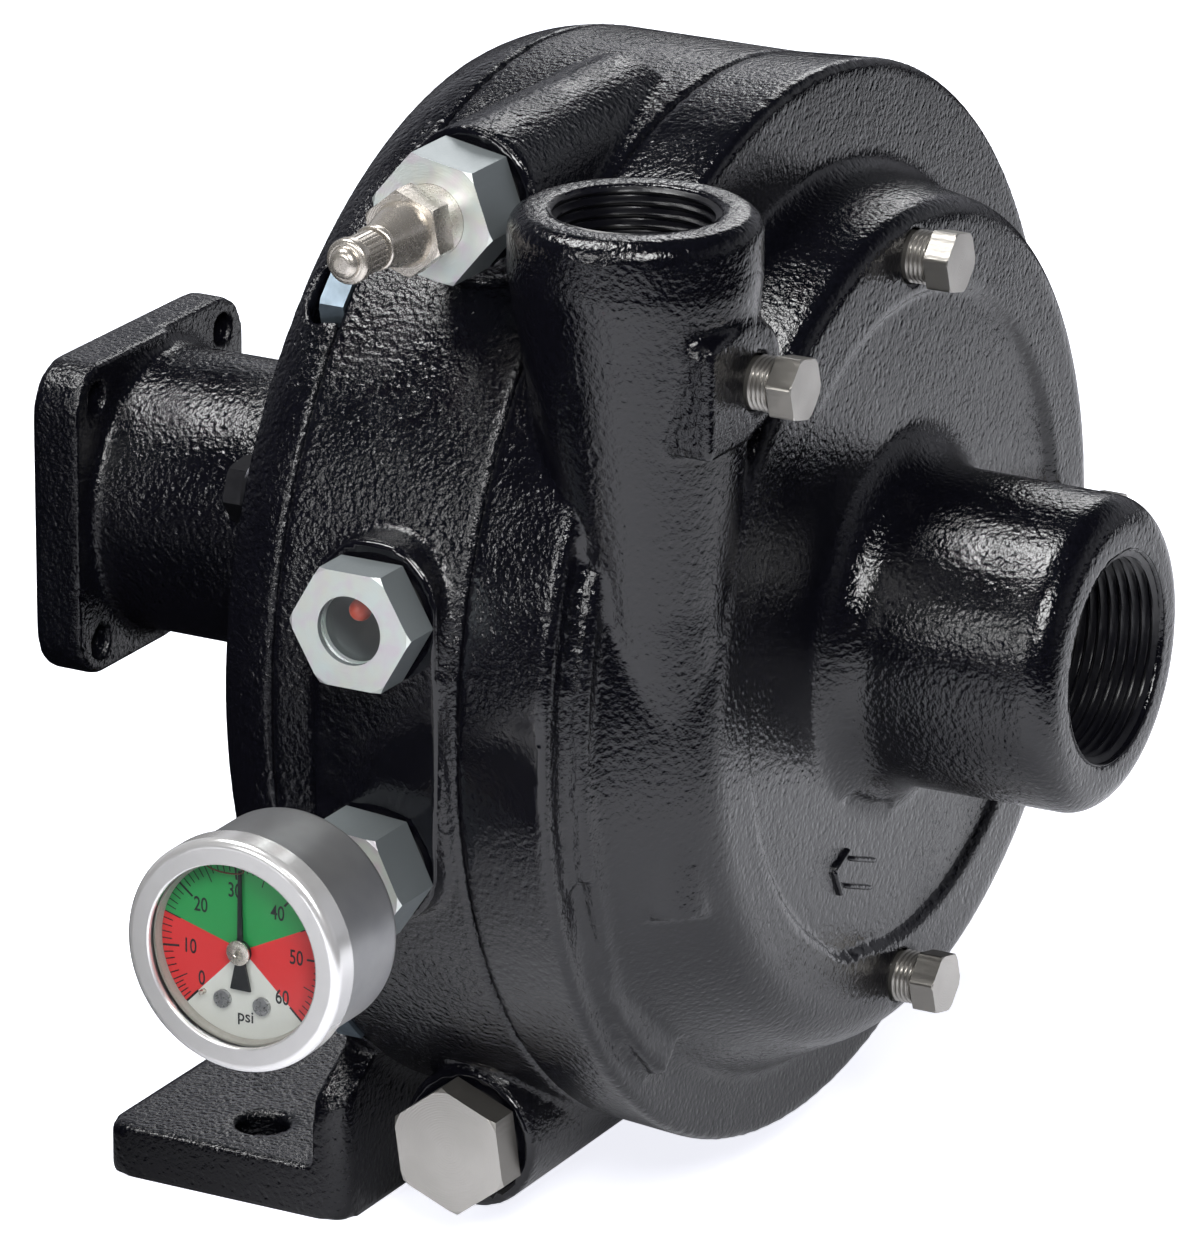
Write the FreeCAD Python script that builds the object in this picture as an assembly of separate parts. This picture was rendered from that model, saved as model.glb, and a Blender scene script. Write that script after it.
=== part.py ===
import FreeCAD, Part
import math
import os

V = FreeCAD.Vector

# Close-coupled centrifugal pump with a wet seal housing, foot mounted, driven by a flanged motor.
# All sizes are millimetres. Everything is modelled about the shaft: the origin of the model is on
# the shaft line at the joint face between the volute casing and the seal housing, -Y runs to the
# suction side and +Y to the motor. At the end the whole pump moves so that the centre of the
# foot's underside is the origin.

# Frame
shaft_height = 114.3
foot_setback = 28.7

# Drum made by the three castings
drum_radius = 104.0
joint_bolt_inset = 6.8
joint_bolt_circle = drum_radius - joint_bolt_inset
joint_bolt_count = 4
joint_bolt_angle = 45.0
joint_bolt_radius = 4.76
joint_bolt_length = 50.8
joint_bolt_flats = 14.29
joint_bolt_head = 5.3
bolt_clearance = 0.4
thread_clearance = 0.04
fit_gap = 0.03

# Seal housing
housing_length = 39.3
foot_centre_y = housing_length + foot_setback
housing_front_wall = 9.0
chamber_wall = 20.0
chamber_radius = drum_radius - chamber_wall
port_line_y = 16.4

# Volute casing
band_length = 19.4
band_flare = 1.2
band_front_radius = drum_radius + band_flare
face_depth = 40.5
face_radius = 80.75
scroll_start_radius = 82.4
scroll_growth = 12.4
scroll_root_rounding = 5.0
scroll_root_flare = 3.5
scroll_edge_rounding = 12.0
scroll_edge_start_rounding = 3.5
ledge_inset = 4.8
ledge_radius = drum_radius - ledge_inset
ledge_height = 4.6
ledge_start_angle = 222.0
ledge_end_angle = 318.0
face_recess_radius = 64.5
face_recess_depth = 1.6
casing_wall = 7.0
scroll_wall = 9.5
cavity_overcut = 0.2
scroll_first_angle = -15.0

# Suction nose
nose_length = 43.8
nose_radius = 30.5
nose_draft = 0.5
nose_edge_rounding = 4.0
nose_flare = 10.0
suction_thread_radius = 20.4
suction_thread_length = 26.0
suction_passage_radius = 18.2

# Discharge neck
neck_x = -79.6
neck_y = -23.5
neck_top_z = 99.9
neck_radius = 23.3
neck_edge_rounding = 3.8
neck_taper_start_z = 88.0
neck_waist_z = 26.0
neck_waist_radius = 15.2
neck_waist_x = -75.8
neck_foot_z = -35.0
neck_foot_radius = 8.0
neck_foot_sink = 2.5
discharge_thread_radius = 15.6
discharge_thread_length = 25.0
discharge_passage_radius = 10.0
discharge_passage_x = -75.5
discharge_passage_y = -17.0

# Side boss on the neck that takes a plug
side_boss_front_y = -46.5
side_boss_depth = 14.0
side_boss_left_x = -93.5
side_boss_right_x = -77.0
side_boss_low_z = 59.0
side_boss_high_z = 80.5
side_plug_x = -75.0
side_plug_z = 69.5
side_eye_radius = 10.6

# Small pipe plugs
plug_radius = 5.15
plug_flats = 11.1
plug_hex_length = 5.0
plug_exposed_thread = 4.5
plug_depth = 5.0
plug_circle = 72.6
plug_way_radius = 2.5

# Raised rotation arrow in the face
arrow_tip_x = -30.5
arrow_tip_z = -40.9
arrow_length = 19.5
arrow_width = 8.6
arrow_line = 1.4
arrow_height = 1.0
arrow_slope = -14.0

# Rear frame
ring_depth = 12.7
ring_taper = 4.3
ring_rear_radius = drum_radius - ring_taper
ring_edge_rounding = 2.0
neck_tube_radius = 28.5
neck_tube_length = 75.0
neck_tube_end_y = housing_length + ring_depth + neck_tube_length
neck_tube_fillet = 8.0
flange_fillet = 3.4
flange_depth = 8.5
flange_half_width = 33.3
flange_half_height = 32.0
flange_corner = 9.0
flange_hole_spacing = 50.8
flange_hole_radius = 3.3
flange_step = 2.0
flange_step_x = 2.0
pilot_radius = 25.4
pilot_depth = 4.0
frame_bolt_inset = 12.4
frame_bolt_circle = drum_radius - frame_bolt_inset
frame_bolt_count = 4
frame_bolt_angle = 22.5
frame_bolt_radius = 3.18
frame_bolt_flats = 11.1
frame_bolt_head = 4.0
frame_bolt_grip = 13.0
frame_washer_radius = 6.35
frame_washer_thickness = 1.2
pocket_radius = 8.4
pocket_depth = 9.0

# Foot
foot_length = 150.0
foot_depth = 54.0
foot_thickness = 10.4
foot_corner = 4.5
foot_hole_spacing = 120.0
foot_hole_radius = 5.25
foot_wall_thickness = 7.0
foot_wall_height = 24.3
foot_wall_rounding = 6.0
foot_wall_shoulder_x = 58.0
foot_wall_shoulder_z = -79.5

# Ports on the left side: pad with the level glass and the gauge, bosses with the valve and drain
pad_stand = 1.0
pad_x = -drum_radius - pad_stand
pad_width = 25.4
pad_half_height = 37.6
spot_face_depth = 0.5
spot_face_radius = 12.2
port_radius = 8.3
port_depth = 13.0
port_passage_radius = 3.5
boss_passage_radius = 2.5
sight_z = 23.0
gauge_z = -26.1
boss_x = -70.0
boss_end_x = -12.0
boss_inset = 11.0
boss_z = drum_radius - boss_inset
boss_radius = 14.0
boss_taper = 8.0
hex_flats = 22.2
hex_chamfer = 1.08
washer_thickness = 1.3
washer_radius = 10.6

# Drain plug
drain_head_length = 7.0

# Tank valve
valve_adapter_length = 13.2
valve_thread_radius = 6.8
valve_thread_exposed = 5.0
valve_thread_depth = 8.0
valve_flats = 14.3
valve_hex_length = 5.6
valve_cone_length = 9.0
valve_cone_radius = 6.2
valve_neck_radius = 3.0
valve_collar_radius = 4.3
valve_collar_length = 1.6
valve_neck_length = 7.2
valve_bore_radius = 1.7
valve_pin_radius = 0.8
valve_pin_length = 20.0
cap_gap = 0.8
cap_skirt_radius = 3.9
cap_rim_radius = 4.3
cap_rim_length = 2.4
cap_dome_radius = 2.9
cap_dome_height = 1.8
cap_wall = 1.2
cap_knurls = 24
cap_thread_gap = 0.3
gasket_thickness = 1.0

# Level glass
sight_hex_length = 8.5
sight_bore_radius = 6.6
sight_lens_radius = 7.2
sight_lens_thickness = 3.0
sight_lip = 1.2
float_radius = 2.1
float_lift = 2.4
float_gap = 0.3
reflector_thickness = 0.8

# Gauge
gauge_adapter_length = 12.0
stem_radius = 4.9
stem_depth = 8.0
stem_flats = 14.3
stem_gap = 5.5
stem_hex_length = 9.0
stem_bore_radius = 1.5
case_radius = 21.0
case_wall = 1.2
case_depth = 21.5
case_rounding = 2.0
bezel_radius = 22.2
bezel_depth = 6.0
bezel_wall = 0.9
bezel_window_radius = 17.4
bezel_rounding = 1.6
window_thickness = 2.0
window_radius = 19.6
dial_radius = 18.6
dial_thickness = 0.6
dial_recess = 5.0
needle_length = 15.5
needle_tail = 7.4
needle_gap = 0.6
needle_hub_rise = 0.5
needle_thickness = 0.5
needle_hub_radius = 2.2
spindle_radius = 0.6
dial_screw_radius = 1.7
dial_screw_spread = 4.1
dial_screw_drop = 10.0
bourdon_radius = 14.5
bourdon_thickness = 1.8
bourdon_width = 4.5
movement_radius = 12.0
movement_setback = 9.5

# Shaft line
shaft_radius = 10.0
seal_shaft_radius = 9.5
impeller_seat_radius = 8.0
drive_radius = 7.94
nut_thread_radius = 6.35
impeller_rear_y = -4.0
running_gap = 0.05

# Impeller
impeller_radius = 70.0
impeller_hub_radius = 14.0
impeller_hub_length = 25.5
back_shroud = 3.5
front_shroud = 3.0
vane_width = 17.0
vane_count = 5
vane_thickness = 3.2
eye_radius = 22.0
eye_ring_wall = 2.8
eye_ring_length = 7.0
wear_ring_gap = 0.3
wear_ring_wall = 3.8
washer_disc_thickness = 1.6
washer_disc_radius = 11.0
nut_flats = 19.05
nut_length = 8.0
key_width = 4.76
key_height = 4.76
key_length = 19.0

# Mechanical seals in the wet chamber
seat_radius = 17.0
seat_length = 7.0
seat_bore_radius = 10.6
seat_front_gap = 2.0
seal_ring_radius = 15.2
seal_ring_length = 7.5
seal_step_depth = 2.8
seal_step_length = 1.5
bellows_depth = 1.8
bellows_sheet = 0.8
bellows_folds = 6

# Bearings
bearing_bore = 10.0
bearing_outer = 23.5
bearing_width = 14.0
ball_radius = 3.97
ball_gap = 0.15
ball_count = 8
ring_thickness = 3.8
cage_thickness = 2.2
cage_width = 9.5
shoulder_radius = 12.5
shoulder_length = 2.2
bearing_setback = 20.7
front_bearing_y = housing_length + bearing_setback
bearing_spacing = 12.0
lip_seal_radius = 16.0
lip_seal_length = 6.0
snap_ring_thickness = 1.6
snap_ring_bite = 1.6

# Motor coupling
coupling_gap = 3.0
coupling_start_y = front_bearing_y + 2 * bearing_width + bearing_spacing + coupling_gap
shaft_reach = 12.0
shaft_end_y = coupling_start_y + shaft_reach
coupling_length = 28.0
coupling_radius = 14.5
set_screw_radius = 3.1

# Sealing rings between the castings
o_ring_inset = 14.8
o_ring_circle = drum_radius - o_ring_inset
o_ring_section = 1.3
o_ring_groove_play = 0.2

axis_vectors = {"x": V(1, 0, 0), "y": V(0, 1, 0), "z": V(0, 0, 1)}


def spot(axis, along, centre, off=0.0):
    if axis == "x":
        return V(along, centre[0] + off, centre[1])
    if axis == "y":
        return V(centre[0] + off, along, centre[1])
    return V(centre[0] + off, centre[1], along)


def rod(radius, start, end, axis="y", centre=(0.0, 0.0)):
    low = min(start, end)
    return Part.makeCylinder(radius, abs(end - start), spot(axis, low, centre), axis_vectors[axis])


def tube(outer, inner, start, end, axis="y", centre=(0.0, 0.0)):
    return rod(outer, start, end, axis, centre).cut(rod(inner, start, end, axis, centre))


def block(low, high):
    size = V(*high) - V(*low)
    return Part.makeBox(size.x, size.y, size.z, V(*low))


def joined(shapes):
    whole = shapes[0]
    if len(shapes) > 1:
        whole = whole.fuse(shapes[1:])
    return whole


def rounded_path(points, place):
    # points are (first, second, corner radius) in a plane; place turns a pair into a 3-D point
    spots = [V(first, second, 0) for first, second, corner in points]
    count = len(points)
    arrive = []
    middle = []
    leave = []
    for number in range(count):
        here = spots[number]
        corner = points[number][2]
        if corner <= 0:
            arrive.append(here)
            middle.append(None)
            leave.append(here)
            continue
        back = (spots[number - 1] - here).normalize()
        onward = (spots[(number + 1) % count] - here).normalize()
        half = back.getAngle(onward) / 2
        step = corner / math.tan(half)
        inward = (back + onward).normalize()
        arrive.append(here + back * step)
        leave.append(here + onward * step)
        middle.append(here + inward * (corner / math.sin(half) - corner))
    edges = []
    for number in range(count):
        if middle[number] is not None:
            ends = [arrive[number], middle[number], leave[number]]
            placed = [place(point.x, point.y) for point in ends]
            edges.append(Part.Arc(placed[0], placed[1], placed[2]).toShape())
        following = arrive[(number + 1) % count]
        if (following - leave[number]).Length > 1e-6:
            begin = place(leave[number].x, leave[number].y)
            edges.append(Part.LineSegment(begin, place(following.x, following.y)).toShape())
    return Part.Wire(edges)


def turned(points, axis="y", centre=(0.0, 0.0), angle=360.0):
    # points are (along the axis, radius, corner radius)
    wire = rounded_path(points, lambda along, radius: spot(axis, along, centre, radius))
    base = spot(axis, 0.0, centre)
    return Part.Face(wire).revolve(base, axis_vectors[axis], angle)


def extruded(points, start, end, axis):
    # points are pairs across the axis with a corner radius, in X, Y, Z order
    wire = rounded_path(points, lambda first, second: spot(axis, start, (first, second)))
    return Part.Face(wire).extrude(axis_vectors[axis] * (end - start))


def hexagon(flats, start, end, axis, centre, turn=0.0):
    corner = flats / math.sqrt(3)
    points = []
    for number in range(6):
        angle = math.radians(turn + 60 * number)
        points.append((centre[0] + corner * math.cos(angle), centre[1] + corner * math.sin(angle), 0))
    return extruded(points, start, end, axis)


def chamfered_hexagon(flats, start, end, axis, centre, turn=0.0):
    # the end named last has its corners turned off to a circle
    corner = flats / math.sqrt(3)
    flat_circle = flats / 2 * hex_chamfer
    drop = (corner - flat_circle) * math.tan(math.radians(30))
    sign = 1 if end > start else -1
    profile = [(start, 0, 0), (start, corner + 1, 0), (end - sign * drop, corner, 0)]
    profile += [(end, flat_circle, 0), (end, 0, 0)]
    return hexagon(flats, start, end, axis, centre, turn).common(turned(profile, axis, centre))


def around(shape, count, first_angle=0.0):
    # copies about the shaft, clockwise from the top as seen from the suction side
    copies = []
    for number in range(count):
        turned_copy = shape.copy()
        turned_copy.rotate(V(0, 0, 0), V(0, 1, 0), first_angle + 360.0 / count * number)
        copies.append(turned_copy)
    return copies


# Volute casing
face_y = -face_depth
nose_front_y = face_y - nose_length
inner_face_y = face_y + casing_wall
recess_y = face_y + face_recess_depth
scroll_end_angle = 289.0


def scroll_share(angle):
    return (angle + 30.0) / 300.0


def scroll_root(angle):
    return scroll_start_radius + scroll_growth * max(scroll_share(angle), 0.0)


def ledge_share(angle):
    share = (angle - ledge_start_angle) / 28.0
    return min(max(share, 0.0), 1.0)


def radial_place(angle):
    turn = math.radians(angle)
    return lambda radius, along: V(radius * math.sin(turn), along, radius * math.cos(turn))


def scroll_section(angle):
    root = scroll_root(angle)
    root_y = -band_length - ledge_height * ledge_share(angle)
    inner = face_recess_radius
    share = min(max(scroll_share(angle), 0.0), 1.0)
    edge = scroll_edge_start_rounding + (scroll_edge_rounding - scroll_edge_start_rounding) * share
    outer = root + scroll_root_flare
    points = [(inner, -band_length / 2, 0), (outer, -band_length / 2, 0)]
    points += [(outer, root_y + 0.4, 0), (root, root_y - 0.4, scroll_root_rounding)]
    points += [(face_radius, face_y, edge), (inner, face_y, 0)]
    return rounded_path(points, radial_place(angle))


def cavity_section(angle):
    outer = scroll_root(angle) - scroll_wall
    points = [(impeller_radius - 12, 1.0, 0), (outer, 1.0, 0), (outer, -band_length, 0)]
    points += [(impeller_radius + 3, inner_face_y, 0), (impeller_radius - 12, inner_face_y, 0)]
    return rounded_path(points, radial_place(angle))


def make_scroll():
    step = (scroll_end_angle - scroll_first_angle) / 16
    angles = [scroll_first_angle + step * number for number in range(17)]
    loft = Part.makeLoft([scroll_section(angle) for angle in angles], True, False)
    back_sweep = scroll_end_angle - scroll_first_angle - 360.0
    start = Part.Face(scroll_section(scroll_first_angle)).revolve(V(0, 0, 0), V(0, 1, 0), back_sweep)
    return [loft, start]


def make_cavity():
    step = (scroll_end_angle - scroll_first_angle) / 16
    angles = [scroll_first_angle + step * number for number in range(17)]
    loft = Part.makeLoft([cavity_section(angle) for angle in angles], True, False)
    # the narrow way round the impeller closes the ring, a degree into the scroll's wide end
    back_sweep = scroll_end_angle - scroll_first_angle - 361.0
    start = Part.Face(cavity_section(scroll_first_angle)).revolve(V(0, 0, 0), V(0, 1, 0), back_sweep)
    middle = rod(impeller_radius - 8, inner_face_y - cavity_overcut, 1.0)
    return [loft, start, middle]


def make_ledge():
    points = [(0.0, -band_length / 2, 0), (ledge_radius, -band_length / 2, 0)]
    points += [(ledge_radius, -band_length - ledge_height, 1.2), (0.0, -band_length - ledge_height, 0)]
    sweep = ledge_end_angle - ledge_start_angle
    wire = rounded_path(points, radial_place(ledge_start_angle))
    wedge = Part.Face(wire).revolve(V(0, 0, 0), V(0, 1, 0), sweep)
    # a slanting cut lets the ledge fade out at its lower end
    turn = math.radians(ledge_start_angle)
    tangent = V(math.cos(turn), 0, -math.sin(turn))
    begin = V(ledge_radius * math.sin(turn), -band_length + 0.2, ledge_radius * math.cos(turn))
    cutter = Part.makeBox(60, 20, 60, V(-30, -20, -30))
    cutter.rotate(V(0, 0, 0), V(0, 1, 0), ledge_start_angle - 90.0)
    slope = math.degrees(math.atan2(ledge_height, 45.0))
    cutter.rotate(V(0, 0, 0), V(math.sin(turn), 0, math.cos(turn)), slope)
    cutter.translate(begin + tangent * 24.0 + V(0, -2.6, 0))
    return wedge.cut(cutter)


def make_nose():
    flare = nose_radius + nose_flare + 0.5
    points = [(inner_face_y, 0, 0), (inner_face_y, flare, 0), (recess_y + 0.2, flare, 0)]
    points += [(recess_y, nose_radius + nose_draft, nose_flare)]
    points += [(nose_front_y, nose_radius, nose_edge_rounding), (nose_front_y, 0, 0)]
    return turned(points)


def make_neck():
    points = [(neck_taper_start_z, 0, 0), (neck_taper_start_z, neck_radius, 0)]
    points += [(neck_top_z, neck_radius, neck_edge_rounding), (neck_top_z, 0, 0)]
    top = turned(points, "z", (neck_x, neck_y))
    high = Part.Wire(Part.makeCircle(neck_radius, V(neck_x, neck_y, neck_taper_start_z)))
    waist_y = face_y + 0.4 + neck_waist_radius
    waist = Part.Wire(Part.makeCircle(neck_waist_radius, V(neck_waist_x, waist_y, neck_waist_z)))
    foot_y = face_y + neck_foot_sink + neck_foot_radius
    foot = Part.Wire(Part.makeCircle(neck_foot_radius, V(neck_waist_x, foot_y, neck_foot_z)))
    return [top, Part.makeLoft([foot, waist, high], True, True)]


def make_side_boss():
    rear_y = side_boss_front_y + side_boss_depth
    points = [(side_boss_left_x, side_boss_low_z, 1.5), (side_boss_left_x, side_boss_high_z, 2.0)]
    points += [(side_boss_right_x, side_boss_high_z + 1.0, 0), (side_boss_right_x, side_boss_low_z, 0)]
    slab = extruded([(x, z, r) for x, z, r in points], side_boss_front_y, rear_y, "y")
    eye_centre = (side_plug_x - 1.5, side_plug_z + 1.0)
    eye = rod(side_eye_radius, side_boss_front_y, rear_y, "y", eye_centre)
    return [slab, eye]


def arrow_strip(start, end):
    # a straight rounded line in the face, from one (x, z) pair to another
    along = V(end[0] - start[0], 0, end[1] - start[1])
    length = along.Length
    strip = Part.makeBox(length, arrow_height + 0.6, arrow_line)
    strip.translate(V(0, 0, -arrow_line / 2))
    slope = math.degrees(math.atan2(along.z, along.x))
    strip.rotate(V(0, 0, 0), V(0, 1, 0), -slope)
    strip.translate(V(start[0], recess_y - arrow_height, start[1]))
    return strip


def make_arrow():
    slope = math.radians(arrow_slope)

    def at(along, across):
        x = arrow_tip_x + along * math.cos(slope) - across * math.sin(slope)
        z = arrow_tip_z + along * math.sin(slope) + across * math.cos(slope)
        return (x, z)

    half = arrow_width / 2
    strips = [arrow_strip(at(0, 0), at(half, half)), arrow_strip(at(0, 0), at(half, -half))]
    for side in (half * 0.55, -half * 0.55):
        strips.append(arrow_strip(at(half * 1.2, side), at(arrow_length, side)))
    return strips


def plug_holes(radius):
    holes = []
    for x, z in plug_places():
        holes.append(rod(radius, face_y - 1, face_y + plug_depth, "y", (x, z)))
    rear = side_boss_front_y + plug_depth
    holes.append(rod(radius, side_boss_front_y - 1, rear, "y", (side_plug_x, side_plug_z)))
    # small drilled ways from the plug holes into the water passages
    for x, z in plug_places():
        holes.append(rod(plug_way_radius, face_y, inner_face_y + 1, "y", (x, z)))
    side_way_y = neck_y - discharge_passage_radius
    holes.append(rod(plug_way_radius, side_boss_front_y, side_way_y, "y", (side_plug_x, side_plug_z)))
    return holes


def plug_places():
    return [(0.0, plug_circle), (0.0, -plug_circle), (plug_circle, 0.0)]


def make_volute_casing():
    band = turned([(0, 0, 0), (0, drum_radius, 0.8), (-band_length, band_front_radius, 1.6),
                   (-band_length, 0, 0)])
    disc = rod(face_recess_radius + 2, -band_length / 2, recess_y)
    body = joined([band, disc] + make_scroll() + [make_ledge(), make_nose()])
    body = body.fuse(make_neck() + make_side_boss())
    body = body.fuse(make_arrow())
    body = body.cut(make_cavity())
    body = body.cut(make_discharge_passage())
    thread_end_y = nose_front_y + suction_thread_length
    wear_seat_radius = eye_radius + eye_ring_wall + wear_ring_gap + wear_ring_wall
    bores = [rod(suction_thread_radius, nose_front_y - 1, thread_end_y)]
    bores.append(rod(suction_passage_radius, thread_end_y - 1, inner_face_y))
    bores.append(rod(wear_seat_radius, inner_face_y - eye_ring_length, inner_face_y + 1))
    groove = o_ring_section + o_ring_groove_play
    bores.append(tube(o_ring_circle + groove, o_ring_circle - groove, -2 * o_ring_section, 1))
    tapped = rod(joint_bolt_radius + thread_clearance, 1, housing_length - joint_bolt_length - 2,
                 "y", (0, joint_bolt_circle))
    holes = around(tapped, joint_bolt_count, joint_bolt_angle) + plug_holes(plug_radius + thread_clearance)
    body = body.cut(bores + holes)
    return body


def make_discharge_passage():
    top_z = neck_top_z - discharge_thread_length
    thread = rod(discharge_thread_radius, top_z, neck_top_z + 1, "z", (neck_x, neck_y))
    high = Part.Wire(Part.makeCircle(discharge_thread_radius - 1, V(neck_x, neck_y, top_z + 1)))
    low_place = V(discharge_passage_x, discharge_passage_y, -6)
    low = Part.Wire(Part.makeCircle(discharge_passage_radius, low_place))
    return [thread, Part.makeLoft([low, high], True, True)]


# Seal housing
port_places = [("pad", sight_z), ("pad", gauge_z), ("boss", boss_z), ("boss", -boss_z)]


def port_face(kind):
    return pad_x if kind == "pad" else boss_x


def make_boss(z):
    points = [(boss_x, 0, 0), (boss_x, boss_radius, 1.0), (boss_end_x, boss_radius, 0)]
    points += [(boss_end_x + boss_taper, boss_radius * 0.6, 0), (boss_end_x + boss_taper, 0, 0)]
    return turned(points, "x", (port_line_y, z))


def make_seal_housing():
    body = turned([(0, 0, 0), (0, drum_radius, 0.8), (housing_length, drum_radius, 0.8),
                   (housing_length, 0, 0)])
    half = pad_width / 2
    straight = pad_half_height - half
    root_x = -drum_radius * 0.9
    pad = [block((pad_x, port_line_y - half, -straight), (root_x, port_line_y + half, straight))]
    for z in (-straight, straight):
        pad.append(rod(half, pad_x, root_x, "x", (port_line_y, z)))
    body = body.fuse(pad + [make_boss(boss_z), make_boss(-boss_z)])
    cuts = [rod(chamber_radius, housing_front_wall, housing_length + 1)]
    cuts.append(rod(seat_radius + fit_gap, seat_front_gap, housing_front_wall + 1))
    cuts.append(rod(seal_shaft_radius + 3, -1, seat_front_gap + 1))
    for kind, z in port_places:
        face = port_face(kind)
        centre = (port_line_y, z)
        cuts.append(rod(spot_face_radius, face - 1, face + spot_face_depth, "x", centre))
        bottom = face + spot_face_depth + port_depth
        cuts.append(rod(port_radius + thread_clearance, face, bottom, "x", centre))
        if kind == "pad":
            cuts.append(rod(port_passage_radius, bottom - 1, -chamber_radius * 0.9, "x", centre))
        else:
            inward = chamber_radius * 0.6 * math.copysign(1, z)
            cuts.append(rod(boss_passage_radius, inward, z, "z", (bottom - boss_passage_radius, port_line_y)))
    clear = rod(joint_bolt_radius + bolt_clearance, -1, housing_length + 1, "y", (0, joint_bolt_circle))
    cuts += around(clear, joint_bolt_count, joint_bolt_angle)
    tapped = rod(frame_bolt_radius + thread_clearance, housing_length + 1,
                 housing_length - frame_bolt_grip - 2, "y", (0, frame_bolt_circle))
    cuts += around(tapped, frame_bolt_count, frame_bolt_angle)
    groove = o_ring_section + o_ring_groove_play
    rear_groove_y = housing_length - 2 * o_ring_section
    inner = chamber_radius + 1.0
    cuts.append(tube(inner + 2 * groove, inner, rear_groove_y, housing_length + 1))
    return body.cut(cuts)


# Rear frame with the foot, the bearing neck and the motor flange
ring_front_y = housing_length
ring_rear_y = housing_length + ring_depth
flange_rear_y = neck_tube_end_y + flange_depth
bearing_end_y = front_bearing_y + 2 * bearing_width + bearing_spacing
foot_z = -shaft_height


def make_foot():
    low_y = foot_centre_y - foot_depth / 2
    high_y = foot_centre_y + foot_depth / 2
    half = foot_length / 2
    corners = [(-half, low_y, foot_corner), (half, low_y, foot_corner)]
    corners += [(half, high_y, foot_corner), (-half, high_y, foot_corner)]
    plate = extruded(corners, foot_z, foot_z + foot_thickness, "z")
    wall_top = foot_z + foot_wall_height
    left = [(-half, foot_z, 0), (-half, wall_top, foot_wall_rounding)]
    left += [(-foot_wall_shoulder_x, foot_wall_shoulder_z, 4.0), (-20.0, -ring_rear_radius * 0.6, 0)]
    right = [(-x, z, r) for x, z, r in reversed(left)]
    wall = extruded(left + right, low_y, low_y + foot_wall_thickness, "y")
    outline = extruded(corners, foot_z - 1, wall_top + ring_rear_radius, "z")
    return [plate, wall.common(outline)]


def make_flange():
    corners = []
    for x, z in ((-1, -1), (1, -1), (1, 1), (-1, 1)):
        corners.append((x * flange_half_width, z * flange_half_height, flange_corner))
    plate = extruded(corners, neck_tube_end_y, flange_rear_y, "y")
    step = extruded(corners, neck_tube_end_y - flange_step, neck_tube_end_y + 1, "y")
    side = block((-flange_half_width - 1, neck_tube_end_y - flange_step - 1, -flange_half_height - 1),
                 (flange_step_x, neck_tube_end_y + 2, flange_half_height + 1))
    return [plate, step.common(side)]


def make_rear_frame():
    ring = [(ring_front_y, 0, 0), (ring_front_y, drum_radius, 0)]
    ring += [(ring_front_y + ring_depth * 0.55, (drum_radius + ring_rear_radius) / 2 + 0.9, 25.0)]
    ring += [(ring_rear_y, ring_rear_radius, ring_edge_rounding)]
    ring += [(ring_rear_y, neck_tube_radius, neck_tube_fillet)]
    ring += [(neck_tube_end_y, neck_tube_radius, flange_fillet)]
    ring += [(neck_tube_end_y, neck_tube_radius + flange_fillet + 0.1, 0)]
    ring += [(neck_tube_end_y + 1, neck_tube_radius + flange_fillet + 0.1, 0)]
    ring += [(neck_tube_end_y + 1, 0, 0)]
    body = turned(ring).fuse(make_foot() + make_flange())
    cuts = [rod(pilot_radius, flange_rear_y - pilot_depth, flange_rear_y + 1)]
    cuts.append(rod(bearing_outer + fit_gap, front_bearing_y, flange_rear_y + 1))
    lip_rear_y = front_bearing_y - shoulder_length - 0.8
    cuts.append(rod(bearing_outer - 3.0, lip_rear_y, front_bearing_y + 1))
    cuts.append(rod(lip_seal_radius + fit_gap, lip_rear_y - lip_seal_length, front_bearing_y))
    cuts.append(rod(seal_shaft_radius + 3, ring_front_y, front_bearing_y))
    cuts.append(rod(seat_radius + fit_gap, ring_front_y - 1, ring_front_y + seat_length))
    groove_y = bearing_end_y + 0.2
    cuts.append(rod(bearing_outer + snap_ring_bite, groove_y, groove_y + snap_ring_thickness + 0.1))
    half = flange_hole_spacing / 2
    for x in (-half, half):
        for z in (-half, half):
            front = neck_tube_end_y - flange_step - 1
            cuts.append(rod(flange_hole_radius, front, flange_rear_y + 1, "y", (x, z)))
    for x in (-foot_hole_spacing / 2, foot_hole_spacing / 2):
        cuts.append(rod(foot_hole_radius, foot_z - 1, foot_z + foot_thickness + 1, "z",
                        (x, foot_centre_y)))
    pocket = [(ring_front_y - 1, 0, 0), (ring_front_y - 1, pocket_radius, 0)]
    pocket += [(ring_front_y + pocket_depth - 3, pocket_radius, 0), (ring_front_y + pocket_depth, 5, 0)]
    pocket += [(ring_front_y + pocket_depth, 0, 0)]
    cuts += around(turned(pocket, "y", (0, joint_bolt_circle)), joint_bolt_count, joint_bolt_angle)
    clear = rod(frame_bolt_radius + bolt_clearance, ring_front_y - 1, ring_rear_y + 1, "y",
                (0, frame_bolt_circle))
    cuts += around(clear, frame_bolt_count, frame_bolt_angle)
    return body.cut(cuts)


# Bolts, washers and sealing rings of the castings
def make_body_bolts():
    centre = (0, joint_bolt_circle)
    head = chamfered_hexagon(joint_bolt_flats, housing_length, housing_length + joint_bolt_head,
                             "y", centre)
    shank = rod(joint_bolt_radius, housing_length, housing_length - joint_bolt_length, "y", centre)
    return around(head.fuse(shank), joint_bolt_count, joint_bolt_angle)


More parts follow.
